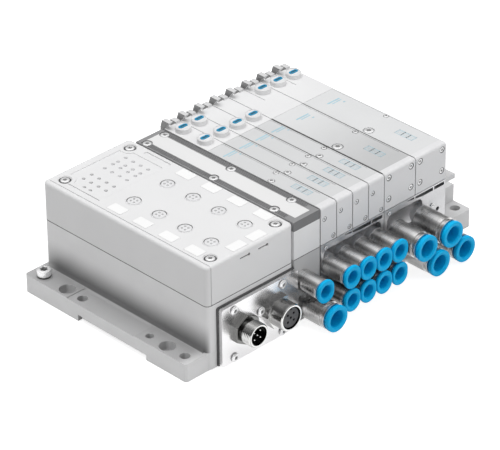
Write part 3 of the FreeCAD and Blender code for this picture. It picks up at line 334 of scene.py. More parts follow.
# Painted shade: the wall darkens towards the foot, and the foot darkens away from its front corner.
tree, shader, coordinates = parts_of("housing_cast")
wall_painted_shade = along(tree, coordinates, "Z", 0.008, 0.026, 0.18, 1.0)
wall_painted_shade = blended(tree, wall_painted_shade, 1.0, along(tree, coordinates, "Y", 0.047, 0.059, 0.0, 0.6))
wall_painted_shade = blended(tree, 1.0, wall_painted_shade, along(tree, coordinates, "X", WALL_X, WALL_X + 0.0021, 1.0, 0.0))
foot_painted_shade = along(tree, coordinates, "Y", -0.052, -0.0435, 0.97, 0.57)
foot_painted_shade = blended(tree, foot_painted_shade, 1.0, ranged(tree, towards(tree, coordinates, TO_LEFT), 0.0, 1.0, 0.5, 0.8))
above = along(tree, coordinates, "Z", FOOT_TOP, FOOT_TOP + 0.0005, 0.0, 1.0)
dimmed(tree, shader, blended(tree, foot_painted_shade, wall_painted_shade, above))

# Painted shade: left of the wide sub-base the hollow fronts darken towards the bottom; the wide sub-base is
# darker on faces that look to the front.
tree, shader, coordinates = parts_of("block_aluminium")
cove_painted_shade = along(tree, coordinates, "Z", 0.024, 0.031, 0.80, 1.0)
cove_painted_shade = blended(tree, cove_painted_shade, 1.0, along(tree, coordinates, "Y", -0.046, -0.040, 0.0, 1.0))
cove_painted_shade = blended(tree, cove_painted_shade, 1.0, along(tree, coordinates, "X", COVE_END_X, COVE_END_X + 0.003, 0.0, 1.0))
face = ranged(tree, towards(tree, coordinates, TO_FRONT), 1.0, 0.82, 0.8, 0.95)
wide = along(tree, coordinates, "X", WIDE_X, WIDE_X + 0.0005, 0.0, 1.0)
dimmed(tree, shader, blended(tree, cove_painted_shade, face, wide))

# Painted shade: the charcoal frame is darker on faces that look to the front.
tree, shader, coordinates = parts_of("frame_charcoal")
dimmed(tree, shader, ranged(tree, towards(tree, coordinates, TO_FRONT), 1.0, 0.5, 0.5, 0.8))

# Painted shade: the tabs and rear ends of the pilot units are a little darker, and much darker on faces
# that look to the left.
tree, shader, coordinates = parts_of("pilot_white")
side = ranged(tree, towards(tree, coordinates, TO_LEFT), 0.84, 0.36, 0.3, 0.7)
raised = along(tree, coordinates, "Z", PILOT_TOP, PILOT_TOP + 0.0003, 0.0, 1.0)
near_back = along(tree, coordinates, "Y", 0.0479, 0.0481, 0.0, 1.0)
behind = along(tree, coordinates, "Y", 0.0515, 0.0517, 0.0, 1.0)
dimmed(tree, shader, blended(tree, 1.0, side, blended(tree, behind, near_back, raised)))

# The strip's labels are a little less white than the cover's, the supply block is darker below its seam as
# painted shade round its fitting's root, and the wide valve is darker towards the front.
for name, *ramp in (("label_white", "X", -0.028, -0.026, 1.0, 0.86),
                    ("supply_cast", "Z", SUPPLY_SEAM, SUPPLY_SEAM + 0.0004, 0.66, 1.0),
                    ("wide_valve_grey", "Y", -0.045, 0.02, 0.73, 1.0)):
    tree, shader, coordinates = parts_of(name)
    dimmed(tree, shader, along(tree, coordinates, *ramp))
print("changed along the part", 7)

# %% [markdown]
# Every CAD node is given the finish of its slot, or one of its own where its part looks
# different. Its mesh isn't touched.

# %% Dress the CAD nodes
SLOTS = {entry["node"]: entry["material_slot"] for entry in frame["record"]["subparts"]}
OWN_FINISH = {"electronics_base": "housing_cast", "connector_panel": "panel_steel",
              "valve_body_5": "wide_valve_grey", "valve_body_6": "end_valve_grey",
              "label_frame": "frame_charcoal", "end_plate": "end_grey", "supply_block": "supply_cast",
              "socket_shell": "socket_nickel"}
for name, node in frame["nodes"].items():
    finish = "plunger_blue" if name.startswith("override_plunger") else OWN_FINISH.get(name, SLOTS[name])
    node.data.materials.clear()
    node.data.materials.append(FINISHES[finish])
print("dressed", len(frame["nodes"]))

# %% [markdown]
# The light is a plain studio: a broad softbox above, a weaker one in front, and a world
# that gives even fill. Glossy rays meet darker bands near the horizon, which add real
# reflections to the dark stripes also painted on the plated parts.

# %% Light and world
WHITE = (1, 1, 1, 1)


def softbox(name, place, width, depth, watts):
    """A rectangular lamp that faces the origin and doesn't show in mirrors."""
    data = bpy.data.lights.new(name, "AREA")
    data.shape = "RECTANGLE"
    data.size, data.size_y, data.energy = width, depth, watts
    lamp = bpy.data.objects.new(name, data)
    turn = (-Vector(place)).to_track_quat("-Z", "Y").to_matrix().to_4x4()
    lamp.matrix_world = Matrix.Translation(place) @ turn
    bpy.context.scene.collection.objects.link(lamp)
    lamp.visible_glossy = False


def by_rays(tree, rays, soft, sharp):
    """One shader for soft light, and another for rays that show a thing sharply: seen,
    mirrored or through glass."""
    total = rays.outputs["Is Camera Ray"]
    for kind in ("Is Glossy Ray", "Is Transmission Ray"):
        total = add(tree, "ShaderNodeMath", {0: total, 1: rays.outputs[kind]},
                    operation="MAXIMUM").outputs[0]
    return add(tree, "ShaderNodeMixShader", {0: total, 1: soft, 2: sharp}).outputs["Shader"]


softbox("softbox_top", (-0.1, 0.15, 1.3), 1.2, 1.0, 13.0)
softbox("softbox_front", (0.35, -1.3, 0.7), 0.8, 0.8, 5.0)

world = bpy.data.worlds.new("studio")
bpy.context.scene.world = world
world.use_nodes = True
sky = world.node_tree
sky.nodes.clear()
rays = add(sky, "ShaderNodeLightPath")
direction = add(sky, "ShaderNodeTexCoord")
split = add(sky, "ShaderNodeSeparateXYZ", {0: direction.outputs["Generated"]})
ramp = add(sky, "ShaderNodeValToRGB", {"Fac": ranged(sky, split.outputs["Z"], 0.0, 1.0, -1.0, 1.0)})
BANDS = ((0.50, 0.10), (0.60, 0.14), (0.72, 0.34), (0.80, 0.5), (0.87, 1.15), (1.0, 1.0))
for k, (position, level) in enumerate(BANDS):
    stop = ramp.color_ramp.elements[k] if k < 2 else ramp.color_ramp.elements.new(position)
    stop.position = position
    stop.color = (level, level, level, 1)
pick = add(sky, "ShaderNodeMix", {"Factor": rays.outputs["Is Glossy Ray"], "A": WHITE,
                                  "B": ramp.outputs["Color"]}, data_type="RGBA")
fill = add(sky, "ShaderNodeBackground", {"Color": WHITE, "Strength": 0.42}).outputs["Background"]
seen = add(sky, "ShaderNodeBackground", {"Color": pick.outputs["Result"]}).outputs["Background"]
add(sky, "ShaderNodeOutputWorld", {"Surface": by_rays(sky, rays, fill, seen)})
print("bands in the sky", len(BANDS))

# %% [markdown]
# The floor is pale paper. It glows a little where it is seen or mirrored, so that it ends
# up white as in the photograph, and still takes the soft shadow under the island.

# %% Floor
HALF = 6.0
floor_mesh = bpy.data.meshes.new("floor")
floor_mesh.from_pydata([(-HALF, -HALF, 0), (HALF, -HALF, 0), (HALF, HALF, 0), (-HALF, HALF, 0)], [],
                       [(0, 1, 2, 3)])
floor = bpy.data.objects.new("floor", floor_mesh)
floor.location.z = -0.0001
bpy.context.scene.collection.objects.link(floor)
paper, tree, shader = new_finish("floor_paper")[:3]
output = shader.outputs["BSDF"].links[0].to_node
shader.inputs["Base Color"].default_value = (0.62, 0.62, 0.62, 1)
shader.inputs["Roughness"].default_value = 0.9
glow = add(tree, "ShaderNodeEmission", {"Color": WHITE, "Strength": 0.8})
matt = shader.outputs["BSDF"]
both = add(tree, "ShaderNodeAddShader", {0: matt, 1: glow.outputs["Emission"]}).outputs["Shader"]
surface = by_rays(tree, add(tree, "ShaderNodeLightPath"), matt, both)
tree.links.new(surface, output.inputs["Surface"])
floor_mesh.materials.append(paper)
print("stage ready")

# %% [markdown]
# Turned parts, such as fittings and screw heads, are one outline swept once round an
# axis. A lathe helper does the same: it takes the outline as radius and height, breaks
# each corner with a small round as a tool would, and closes the shape.

# %% Helpers for turned parts


def softened(outline, radius, steps=3):
    """Replaces each corner of a closed outline with a small round."""
    points = []
    count = len(outline)
    for k, corner in enumerate(outline):
        corner = Vector(corner)
        before = Vector(outline[k - 1]) - corner
        after = Vector(outline[(k + 1) % count]) - corner
        reach = min(radius, before.length * 0.45, after.length * 0.45)
        if reach < 1e-5 or corner.x < 1e-9:
            points.append(corner)
            continue
        start = corner + before.normalized() * reach
        end = corner + after.normalized() * reach
        for step in range(steps + 1):
            t = step / steps
            points.append(start * (1 - t) ** 2 + corner * 2 * t * (1 - t) + end * t ** 2)
    return points


def lofted(name, rings, looped=False, merged=False, rounded=True):
    """Mesh through rings of points. Bands join each ring to the next. Then the last joins
    the first, or a face closes each end."""
    shape = bmesh.new()
    rings = [[shape.verts.new(point) for point in ring] for ring in rings]
    for lower, upper in zip(rings, rings[1:] + rings[:looped]):
        for i in range(len(lower)):
            j = (i + 1) % len(lower)
            shape.faces.new((lower[i], lower[j], upper[j], upper[i]))
    if not looped:
        shape.faces.new(list(reversed(rings[0])))
        shape.faces.new(rings[-1])
    if merged:
        bmesh.ops.remove_doubles(shape, verts=shape.verts, dist=1e-6)
        bmesh.ops.dissolve_degenerate(shape, edges=shape.edges, dist=1e-6)
    bmesh.ops.recalc_face_normals(shape, faces=shape.faces)
    mesh = bpy.data.meshes.new(name)
    shape.to_mesh(mesh)
    shape.free()
    if rounded:
        smooth(mesh)
    return mesh


def turned(name, outline, segments=48, soft=0.12, outer=None):
    """Mesh in millimetres round +Z. An outline point is (radius, height), and outer gives
    the radius of the widest points at each angle and height where the part isn't round."""
    points = softened(outline, soft) if soft else [Vector(p) for p in outline]
    widest = max(p.x for p in points)
    rings = []
    for point in points:
        ring = []
        for k in range(segments):
            angle = 2 * math.pi * k / segments
            radius = point.x
            if outer and radius > widest * 0.8:
                radius += outer(angle, point.y) - widest
            ring.append((radius * math.cos(angle), radius * math.sin(angle), point.y))
        rings.append(ring)
    return lofted(name, rings, looped=True, merged=True)


def smooth(mesh, angle=35.0):
    for polygon in mesh.polygons:
        polygon.use_smooth = True
    mesh.set_sharp_from_angle(angle=math.radians(angle))


def placed(mesh, x, y, z, facing="up"):
    """Puts a mesh in millimetres at its place in metres, facing up or to the front."""
    turn = Matrix.Rotation(math.radians(90), 4, "X") if facing == "front" else Matrix.Identity(4)
    mesh.transform(Matrix.Translation((x, y, z)) @ turn @ Matrix.Scale(MM, 4))
    mesh.update()
    return mesh


def piece(name, mesh, finish, body="island", stands_for=()):
    """Makes the mesh a piece: its finish, its body and the nodes it stands for."""
    thing = bpy.data.objects.new(name, mesh)
    bpy.context.scene.collection.objects.link(thing)
    mesh.materials.clear()
    mesh.materials.append(FINISHES[finish])
    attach(thing, body)
    if stands_for:
        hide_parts(*stands_for)
    return thing


# %% [markdown]
# Many places are read from the CAD nodes themselves: a node's triangles are merged in a
# copy, loose groups are the separate solids, and each group's box says where it is.

# %% Places of the solids in a node


def solid_boxes(node):
    """The lowest and highest corner, in metres, of each separate solid of a CAD node."""
    shape = bmesh.new()
    shape.from_mesh(frame["nodes"][node].data)
    bmesh.ops.remove_doubles(shape, verts=shape.verts, dist=2e-6)
    shape.verts.ensure_lookup_table()
    seen = set()
    boxes = []
    for vert in shape.verts:
        if vert.index in seen:
            continue
        group, queue = [], [vert]
        seen.add(vert.index)
        while queue:
            current = queue.pop()
            group.append(current.co)
            for edge in current.link_edges:
                other = edge.other_vert(current)
                if other.index not in seen:
                    seen.add(other.index)
                    queue.append(other)
        low = Vector([min(p[i] for p in group) for i in range(3)])
        high = Vector([max(p[i] for p in group) for i in range(3)])
        boxes.append((low.copy(), high.copy()))
    shape.free()
    return sorted(boxes, key=lambda b: (round(b[0].x, 5), round(b[0].y, 5), round(b[0].z, 5)))


print("screws on the housing", len(solid_boxes("housing_screws")))

# %% [markdown]
# What repeats is made by Geometry Nodes: the tree takes a cloud of points, puts a copy of
# one small part on each, may turn it by a random angle, and ends in a plain mesh.

# %% Tree that repeats a part


def repeat_tree():
    tree = bpy.data.node_groups.new("repeat_part", "GeometryNodeTree")
    sockets = {}
    for name, kind in (("Places", "NodeSocketGeometry"), ("Part", "NodeSocketObject"),
                       ("Finish", "NodeSocketMaterial"), ("Turn axis", "NodeSocketVector"),
                       ("Most turn", "NodeSocketFloat"), ("Seed", "NodeSocketInt")):
        sockets[name] = tree.interface.new_socket(name, in_out="INPUT", socket_type=kind).identifier
    tree.interface.new_socket("Geometry", in_out="OUTPUT", socket_type="NodeSocketGeometry")
    start = add(tree, "NodeGroupInput").outputs
    part = add(tree, "GeometryNodeObjectInfo", {"Object": start["Part"]})
    chance = add(tree, "FunctionNodeRandomValue", {3: start["Most turn"], "Seed": start["Seed"]},
                 data_type="FLOAT")
    axis = add(tree, "ShaderNodeVectorMath", {0: start["Turn axis"], "Scale": chance.outputs[1]},
               operation="SCALE")
    size = add(tree, "GeometryNodeInputNamedAttribute", {"Name": "size"}, data_type="FLOAT")
    copies = add(tree, "GeometryNodeInstanceOnPoints", {
        "Points": start["Places"], "Instance": part.outputs["Geometry"],
        "Rotation": axis.outputs["Vector"], "Scale": size.outputs["Attribute"]})
    real = add(tree, "GeometryNodeRealizeInstances", {"Geometry": copies.outputs["Instances"]})
    finish = add(tree, "GeometryNodeSetMaterial", {"Geometry": real.outputs["Geometry"],
                                                   "Material": start["Finish"]})
    add(tree, "NodeGroupOutput", {0: finish.outputs["Geometry"]})
    return tree, sockets


REPEAT, REPEAT_SOCKETS = repeat_tree()


def evaluated_mesh(thing, name):
    """The plain mesh that an object's modifiers make; the object itself is removed."""
    bpy.context.view_layer.update()
    graph = bpy.context.evaluated_depsgraph_get()
    mesh = bpy.data.meshes.new_from_object(thing.evaluated_get(graph))
    mesh.name = name
    for modifier in list(thing.modifiers):
        thing.modifiers.remove(modifier)
    bpy.data.objects.remove(thing)
    return mesh


def repeated(name, part_mesh, places, finish, sizes=None, turn_axis=(0, 0, 1), most_turn=0.0,
             seed=1, stands_for=()):
    """One piece that holds a copy of the part at each place, in metres."""
    cloud = bpy.data.meshes.new(name + "_places")
    cloud.from_pydata([tuple(p) for p in places], [], [])
    scale = cloud.attributes.new("size", "FLOAT", "POINT")
    scale.data.foreach_set("value", sizes or [1.0] * len(places))
    holder = bpy.data.objects.new(name + "_holder", cloud)
    pattern = bpy.data.objects.new(name + "_pattern", part_mesh)
    for thing in (holder, pattern):
        bpy.context.scene.collection.objects.link(thing)
    modifier = holder.modifiers.new("repeat", "NODES")
    modifier.node_group = REPEAT
    for label, value in (("Part", pattern), ("Finish", FINISHES[finish]), ("Turn axis", turn_axis),
                         ("Most turn", most_turn), ("Seed", seed)):
        modifier[REPEAT_SOCKETS[label]] = value
    mesh = evaluated_mesh(holder, name)
    bpy.data.objects.remove(pattern)
    return piece(name, mesh, finish, stands_for=stands_for)


# %% [markdown]
# A screw head is a low turned disc with a six-lobed recess for the driver. The recess is
# drawn as a ring of points that swells six times, taken down to a floor, where a dark plate
# is painted shade. The screws on the cover stand on dark rings of painted shade.

# %% Screw heads


LOBES, SWELL = 6, 0.14


def circle(radius, z, segments=48, swell=0.0):
    """Points of a ring at a height, which may swell into six lobes."""
    points = []
    for k in range(segments):
        angle = 2 * math.pi * k / segments
        reach = radius * (1 + swell * math.cos(LOBES * angle))
        points.append((reach * math.cos(angle), reach * math.sin(angle), z))
    return points


def driver_head(name, radius, height, recess, depth, dome=0.0):
    """Head in millimetres: its top is at zero and it faces +Z."""
    edge = min(0.25, height * 0.3)
    return lofted(name, [circle(radius, -height), circle(radius, -edge - dome),
                         circle(radius - edge * 0.3, -edge * 0.3 - dome), circle(radius - edge, -dome),
                         circle((radius + recess) / 2, -dome * 0.3),
                         circle(recess * 1.12, 0, swell=0.12), circle(recess, -0.12, swell=SWELL),
                         circle(recess, -depth, swell=SWELL), circle(recess * 0.3, -depth - 0.15)])


def recess_shade_plate(name, recess, depth):
    """Thin dark plate of painted shade on the floor of the recess, in the same six-lobed form."""
    return lofted(name, [circle(recess * share, z, 36, SWELL) for z, share in
                         ((-depth - 0.1, 0.9), (-depth + 0.12, 0.97), (-depth + 0.16, 0.9))])


def to_metres(mesh, facing="up"):
    return placed(mesh, 0, 0, 0, facing)


def top_centre(low, high):
    return Vector(((low.x + high.x) / 2, (low.y + high.y) / 2, high.z))


def front_centre(low, high):
    return Vector(((low.x + high.x) / 2, low.y, (low.z + high.z) / 2))


def screw_heads(name, form, places, sizes, facing, seed, stands_for):
    """Heads and the dark plates of painted shade on the floors of their recesses, turned alike
    by the same seed. The form is a head's radius, height, recess, depth of recess and dome, in millimetres."""
    recess, depth = form[2], form[3]
    axis = (0, 1, 0) if facing == "front" else (0, 0, 1)
    head = to_metres(driver_head(name + "_form", *form), facing)
    repeated(name, head, places, "steel", sizes, axis, MOST_TURN, seed, stands_for=stands_for)
    # Painted shade: a dark plate on the floor of each recess.
    fill = to_metres(recess_shade_plate(name + "_shade_form", recess, depth), facing)
    repeated(name + "_recesses", fill, places, "recess_grey", sizes, axis, MOST_TURN, seed)


MOST_TURN, UNIT_HEAD = 6.2, 2.0
housing_places = [top_centre(*b) for b in solid_boxes("housing_screws")]
screw_heads("housing_screw_heads", (2.2, 1.4, 1.0, 0.7, 0.15), housing_places, None, "up", 4,
            ("housing_screws",))
cover_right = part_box("electronics_cover")[1].x
cover_places = [p - Vector((0, 0, 0.55 * MM)) for p in housing_places if p.x < cover_right]
# Painted shade: a dark ring under each cover screw's head, in its recess.
screw_shade_ring = turned("screw_shade_ring_form", [(2.15, -0.3), (2.85, -0.3), (2.95, 0.0), (2.15, 0.0)], 48, 0.0)
repeated("cover_screw_seals", to_metres(screw_shade_ring), cover_places, "gasket_black")
print("housing screws", len(housing_places), "with a shade ring", len(cover_places))

# %% [markdown]
# Small screws stand upright on the valves or face the front. Each copy is scaled to the
# size of its CAD screw. The earth screw has a larger head on two washers, and the screws
# sunk into the end caps get a dark rim of painted shade, as their holes show in the photograph.

# %% Small screws and earth screw
upright, on_panel, in_caps = [], [], []
panel_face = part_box("connector_panel")[0].y
cap_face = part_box("valve_end_caps")[0].y
for low, high in solid_boxes("small_screws"):
    size = (high.x - low.x) / 2 / (UNIT_HEAD * MM)
    front = front_centre(low, high)
    if high.z - low.z > 10 * MM:
        upright.append((top_centre(low, high), size))
    elif front.y < panel_face:
        on_panel.append((front, size))
    else:
        in_caps.append((front, size * 0.86))
for name, form, found, facing, seed in (
        ("valve_screw_heads", (UNIT_HEAD * 0.86, 1.1, 0.85, 0.5, 0.1), upright, "up", 7),
        ("panel_screw_heads", (UNIT_HEAD, 0.9, 0.8, 0.5, 0.3), on_panel, "front", 9),
        ("front_screw_heads", (UNIT_HEAD, 0.9, 0.95, 0.5, 0.08), in_caps, "front", 11)):
    screw_heads(name, form, [p for p, size in found], [size for p, size in found], facing, seed,
                ("small_screws",))
# Painted shade: a thin dark ring round each screw sunk into the end caps.
sunk = [(Vector((p.x, cap_face, p.z)), size) for p, size in in_caps if abs(p.y - cap_face) < 0.5 * MM]
rim = turned("sunk_hole_shade_form", [(UNIT_HEAD, -0.5), (UNIT_HEAD * 1.2, -0.5), (UNIT_HEAD * 1.2, 0.03),
                                (UNIT_HEAD, 0.03)], 48, 0.0)
repeated("cap_screw_shades", to_metres(rim, "front"), [p for p, size in sunk], "recess_grey",
         [size for p, size in sunk])

earth_top = top_centre(*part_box("earth_screw"))
piece("earth_head", placed(driver_head("earth_head", 3.4, 3.0, 1.75, 1.6, 0.2), *earth_top), "steel",
      stands_for=("earth_screw",))
# Painted shade: a dark plate on the floor of the earth screw's recess.
piece("earth_recess", placed(recess_shade_plate("earth_recess", 1.75, 1.2), *earth_top), "contact_dark")
washers = turned("earth_washers", [(1.9, -4.2), (3.3, -4.2), (3.3, -3.75), (3.0, -3.7), (3.0, -3.6),
                                   (3.45, -3.55), (3.45, -3.0), (1.9, -3.0)], 64, 0.08)
piece("earth_washers", placed(washers, *earth_top), "nut_nickel",
      stands_for=("earth_screw",))
print("small screws", len(upright), len(on_panel), len(in_caps), "sunk", len(sunk))

# %% [markdown]
# The push-in fittings are the part a user touches most. Each body is turned brass with
# plating: a plain sleeve, a groove and a bright lip, and a bore that steps down to the
# tube's seat. The blue ring in front slides a millimetre to let the tube go.

# %% Fittings
SMALL = {"tube": 3.05, "body": 5.0, "reach": 16.0, "flange": 1.5, "groove": 0.4, "lip": 0.5,
         "neck": 4.7, "rx": 5.0, "rz": 5.9}
LARGE = {"tube": 4.05, "body": 6.6, "reach": 20.5, "flange": 2.0, "groove": 1.8, "lip": 0.8,
         "neck": 5.7, "rx": 6.6, "rz": 6.6}
TRAVEL, SPARE, COLLET_WALL, COLLET_LENGTH, BORE_GAP = 1.0, 0.1, 0.85, 6.5, 0.08


def fitting_outline(size):
    """Outline of a fitting body: radius, and height above the sub-base's front."""
    tip = size["reach"] - size["flange"] - TRAVEL - SPARE
    collet = size["tube"] + COLLET_WALL + BORE_GAP
    collet_end = tip - COLLET_LENGTH - TRAVEL - SPARE
    body, neck, lip = size["body"], size["neck"], size["lip"]
    return [(collet - 0.5, -5.9), (collet - 0.5, 0.02), (body, 0.02), (body, tip - lip - size["groove"]),
            (neck, tip - lip - size["groove"]), (neck, tip - lip), (body, tip - lip), (body, tip),
            (collet, tip), (collet, collet_end), (size["tube"], collet_end),
            (size["tube"], collet_end - 5.0), (1.8, collet_end - 5.0), (1.8, -5.9)]


def oval(size):
    """Radius of the ring's rim at an angle, counted from +X to +Z."""
    rise = size["rz"] - size["rx"]

    def reach(angle, height):
        c, s = abs(math.cos(angle)), abs(math.sin(angle))
        if c > 1e-6 and size["rx"] / c * s <= rise:
            return size["rx"] / c
        return rise * s + math.sqrt(size["rx"] ** 2 - (rise * c) ** 2)
    return reach if rise > 0.01 else None


def ring_outline(size):
    """Outline of a release ring with its collet sleeve; its face is at zero, facing +Z."""
    bore = size["tube"] + BORE_GAP
    sleeve = size["tube"] + COLLET_WALL + BORE_GAP - 0.05
    rim = size["rx"]
    return [(rim, -size["flange"]), (rim, -0.35), (rim - 0.4, 0.0), (bore + 0.75, 0.0), (bore, -0.75),
            (bore, -size["flange"] - TRAVEL - SPARE - COLLET_LENGTH),
            (sleeve, -size["flange"] - TRAVEL - SPARE - COLLET_LENGTH), (sleeve, -size["flange"])]


front_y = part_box("subbase_narrow")[0].y
for kind, count, size in (("small", 9, SMALL), ("large", 5, LARGE)):
    places = []
    for k in range(1, count + 1):
        node = "release_ring_%s_%d" % (kind, k)
        low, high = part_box(node)
        centre = front_centre(low, high)
        places.append(Vector((centre.x, front_y, centre.z)))
        mesh = turned("blue_ring", ring_outline(size), 72, 0.18, oval(size))
        placed(mesh, centre.x, centre.y, centre.z, "front")
        piece("blue_ring_%s_%d" % (kind, k), mesh, "ring_blue", node + "_body", stands_for=(node,))
    sleeve = to_metres(turned("sleeve", fitting_outline(size), 72, 0.15), "front")
    node = "fitting_bodies_6mm" if kind == "small" else "fitting_bodies_8mm"
    repeated("fitting_sleeves_" + kind, sleeve, places, "sleeve_nickel", stands_for=(node,))
    print(kind, "fittings", len(places))

# %% [markdown]
# The cover carries eight round sensor sockets: a sleeve, a moulded insert with contact
# holes, and a gap between them, darkened at its rear by a crescent of painted shade.

# %% Sensor sockets
socket_tops = [top_centre(*b) for b in solid_boxes("sensor_sockets")]
SOCKET_R, SOCKET_BORE_R, INSERT_R = 3.95, 3.5, 3.1
sleeve = turned("socket_sleeve", [(SOCKET_R, -8.5), (SOCKET_R, 0), (SOCKET_BORE_R, 0),
                                  (SOCKET_BORE_R, -0.5), (0, -0.5), (0, -8.5)], 48, 0.12)
repeated("sensor_socket_sleeves", to_metres(sleeve), socket_tops, "cover_grey",
         stands_for=("sensor_sockets",))
insert = turned("socket_insert_form", [(INSERT_R, -0.6), (INSERT_R, -0.1), (0, -0.1), (0, -0.6)])
repeated("sensor_socket_inserts", to_metres(insert), socket_tops, "cap_grey",
         stands_for=("sensor_sockets",))
contacts = []
for top in socket_tops:
    for k in range(4):
        angle = math.radians(45 + 90 * k)
        contacts.append(top + Vector((1.45 * math.cos(angle), 1.45 * math.sin(angle), -0.07)) * MM)
dot = turned("contact_form", [(0.5, -0.5), (0.5, 0.0), (0.3, 0.0), (0.3, -0.3), (0, -0.3), (0, -0.5)], 16,
             0.04)


def crescent(name, inner, outer, start, end, low, high, steps=28):
    """Part of a ring in millimetres, full in the middle and thin at its ends."""
    rows = []
    for k in range(steps + 1):
        angle = math.radians(start + (end - start) * k / steps)
        inside = outer - (outer - inner) * (0.12 + 0.88 * math.sin(math.pi * k / steps) ** 0.6)
        rows.append([(r * math.cos(angle), r * math.sin(angle), z) for r, z in
                     ((outer, low), (outer, high), (inside, high), (inside, low))])
    return lofted(name, rows, rounded=False)


# Painted shade: a dark crescent in the rear of the gap between sleeve and insert.
key = crescent("socket_shade_form", INSERT_R - 0.05, SOCKET_BORE_R + 0.02, -50, 150, -0.45, -0.04)
repeated("sensor_socket_keys", to_metres(key), socket_tops, "recess_grey")
repeated("sensor_socket_contacts", to_metres(dot), contacts, "contact_dark")
print("sockets", len(socket_tops), "contacts", len(contacts))

# %% [markdown]
# The round plug has a real screw thread of one millimetre pitch. Its radius at any point
# depends on the height less the share of a turn, so the ridge climbs as it goes round.

# %% Plug connector
plug_at = front_centre(*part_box("plug_shell"))
plug_at.y = panel_face
PITCH, THREAD_R, THREAD_DEPTH, THREAD_START, THREAD_END = 1.0, 6.0, 0.55, 3.8, 9.5


def thread(angle, height):
    """Radius of the ridge at an angle and height, run out at both ends."""
    wave = abs(((height / PITCH - angle / (2 * math.pi)) % 1.0) * 2 - 1)
    if height > THREAD_END - 0.5:
        return THREAD_R - 0.5 + (THREAD_END - height) - THREAD_DEPTH * 0.2
    if height < THREAD_START + 0.3:
        return THREAD_R - THREAD_DEPTH
    return THREAD_R - THREAD_DEPTH * wave


def hexagon(across, end):
    """Radius of a nut at an angle, with its corners turned off at the front."""
    def reach(angle, height):
        flat = across / 2 / math.cos((angle + math.pi / 6) % (math.pi / 3) - math.pi / 6)
        return min(flat, across / 2 + 0.55) if height > end - 0.05 else flat
    return reach


ROWS = 57
climb = [(THREAD_R, THREAD_START + (THREAD_END - THREAD_START) * k / ROWS) for k in range(ROWS + 1)]
outline = [(4.2, 2.65), (5.4, 2.65), (5.4, THREAD_START)] + climb
outline += [(4.75, THREAD_END), (4.75, 2.72), (4.2, 2.72)]
nut_outline = [(4.3, 0.01), (7.85, 0.01), (7.85, 2.25), (7.85, 2.6), (4.3, 2.6)]
carrier_outline = [(0, 0.0), (4.2, 0.0), (4.2, 2.7), (2.9, 2.7), (2.9, 2.5), (0, 2.5)]
piece("plug_thread", placed(turned("plug_thread", outline, 72, 0.0, thread), *plug_at, "front"), "nickel",
      stands_for=("plug_shell",))
nut = turned("plug_nut", nut_outline, 96, 0.0, hexagon(13.6, 2.6))
piece("plug_nut", placed(nut, *plug_at, "front"), "nut_nickel", stands_for=("plug_shell",))
carrier = turned("plug_carrier", carrier_outline, 48, 0.1)
piece("plug_carrier", placed(carrier, *plug_at, "front"), "black_plastic", stands_for=("plug_insert",))
pin = turned("pin_form", [(0, 0.0), (0.5, 0.0), (0.5, 5.6), (0.25, 5.9), (0, 5.9)], 16, 0.05)
pins = [plug_at - Vector((0, 2.6 * MM, 0))]
for k in range(4):
    angle = math.radians(45 + 90 * k)
    pins.append(pins[0] + Vector((2.6 * MM * math.cos(angle), 0, 2.6 * MM * math.sin(angle))))
repeated("plug_pins", to_metres(pin, "front"), pins, "nickel", stands_for=("plug_insert",))
print("thread rows", ROWS, "pins", len(pins))

# %% [markdown]
# Small indicator windows sit in a shallow field of the cover. Those on the left are dark
# lenses, and those on the right are clear ones, of which only the rims show.

# %% Indicator windows


def rounded_bar(name, length, width, height, hole=0.0, steps=5):
    """Low bar in millimetres with round ends, long along X; a hole leaves only its rim."""
    def ring(inset, z):
        radius, points = width / 2 - inset, []
        for side in (1, -1):
            for k in range(steps + 1):
                angle = math.pi * (k / steps - 0.5)
                points.append((side * ((length - width) / 2 + radius * math.cos(angle)),
                               side * radius * math.sin(angle), z))
        return points

    edge = min(0.08, height * 0.4)
    rings = [ring(0, -1.0), ring(0, height - edge), ring(edge, height)]
    if hole:
        rings += [ring(hole, height), ring(hole, 0.02)]
    return lofted(name, rings)


windows = [top_centre(*b) for b in solid_boxes("light_pipes")]
cover_low, cover_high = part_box("electronics_cover")
border = (cover_low.x + cover_high.x) / 2 - 5 * MM
dark = [p for p in windows if p.x < border]
pale = [p for p in windows if p.x >= border]
repeated("led_lenses", to_metres(rounded_bar("lens_form", 1.9, 0.9, 0.12)), dark, "window_clear",
         stands_for=("light_pipes",))
repeated("led_rims", to_metres(rounded_bar("rim_form", 1.9, 1.1, 0.12, hole=0.2)), pale, "rim_grey",
         stands_for=("light_pipes",))
print("dark windows", len(dark), "clear windows", len(pale))

# %% [markdown]
# Each override plunger has a slot for a screwdriver. A dark bar of painted shade lies in it,
# on the same body as the plunger, so that it goes down with it.

# %% Override slots
for k in range(1, 10):
    top = top_centre(*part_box("override_plunger_%d" % k)) - Vector((0, 0, 0.2 * MM))
    # Painted shade: a dark bar in each plunger's slot.
    bar = placed(rounded_bar("slot_shade_form", 3.2, 0.72, 0.05), *top)
    piece("plunger_slot_%d" % k, bar, "contact_dark", "override_plunger_%d_body" % k)
print("override slots", k)

# %% [markdown]
# A thin dark seal lies between the housing and its cover. Only its edge shows, as the
# fine dark line that runs round the block. Dark bars of painted shade fill the two slots in
# the cover's front, and dark fillers of painted shade stand in the narrow gaps between the
# valves, because hardly any light comes out of them.

# %% Seal line and slot shades


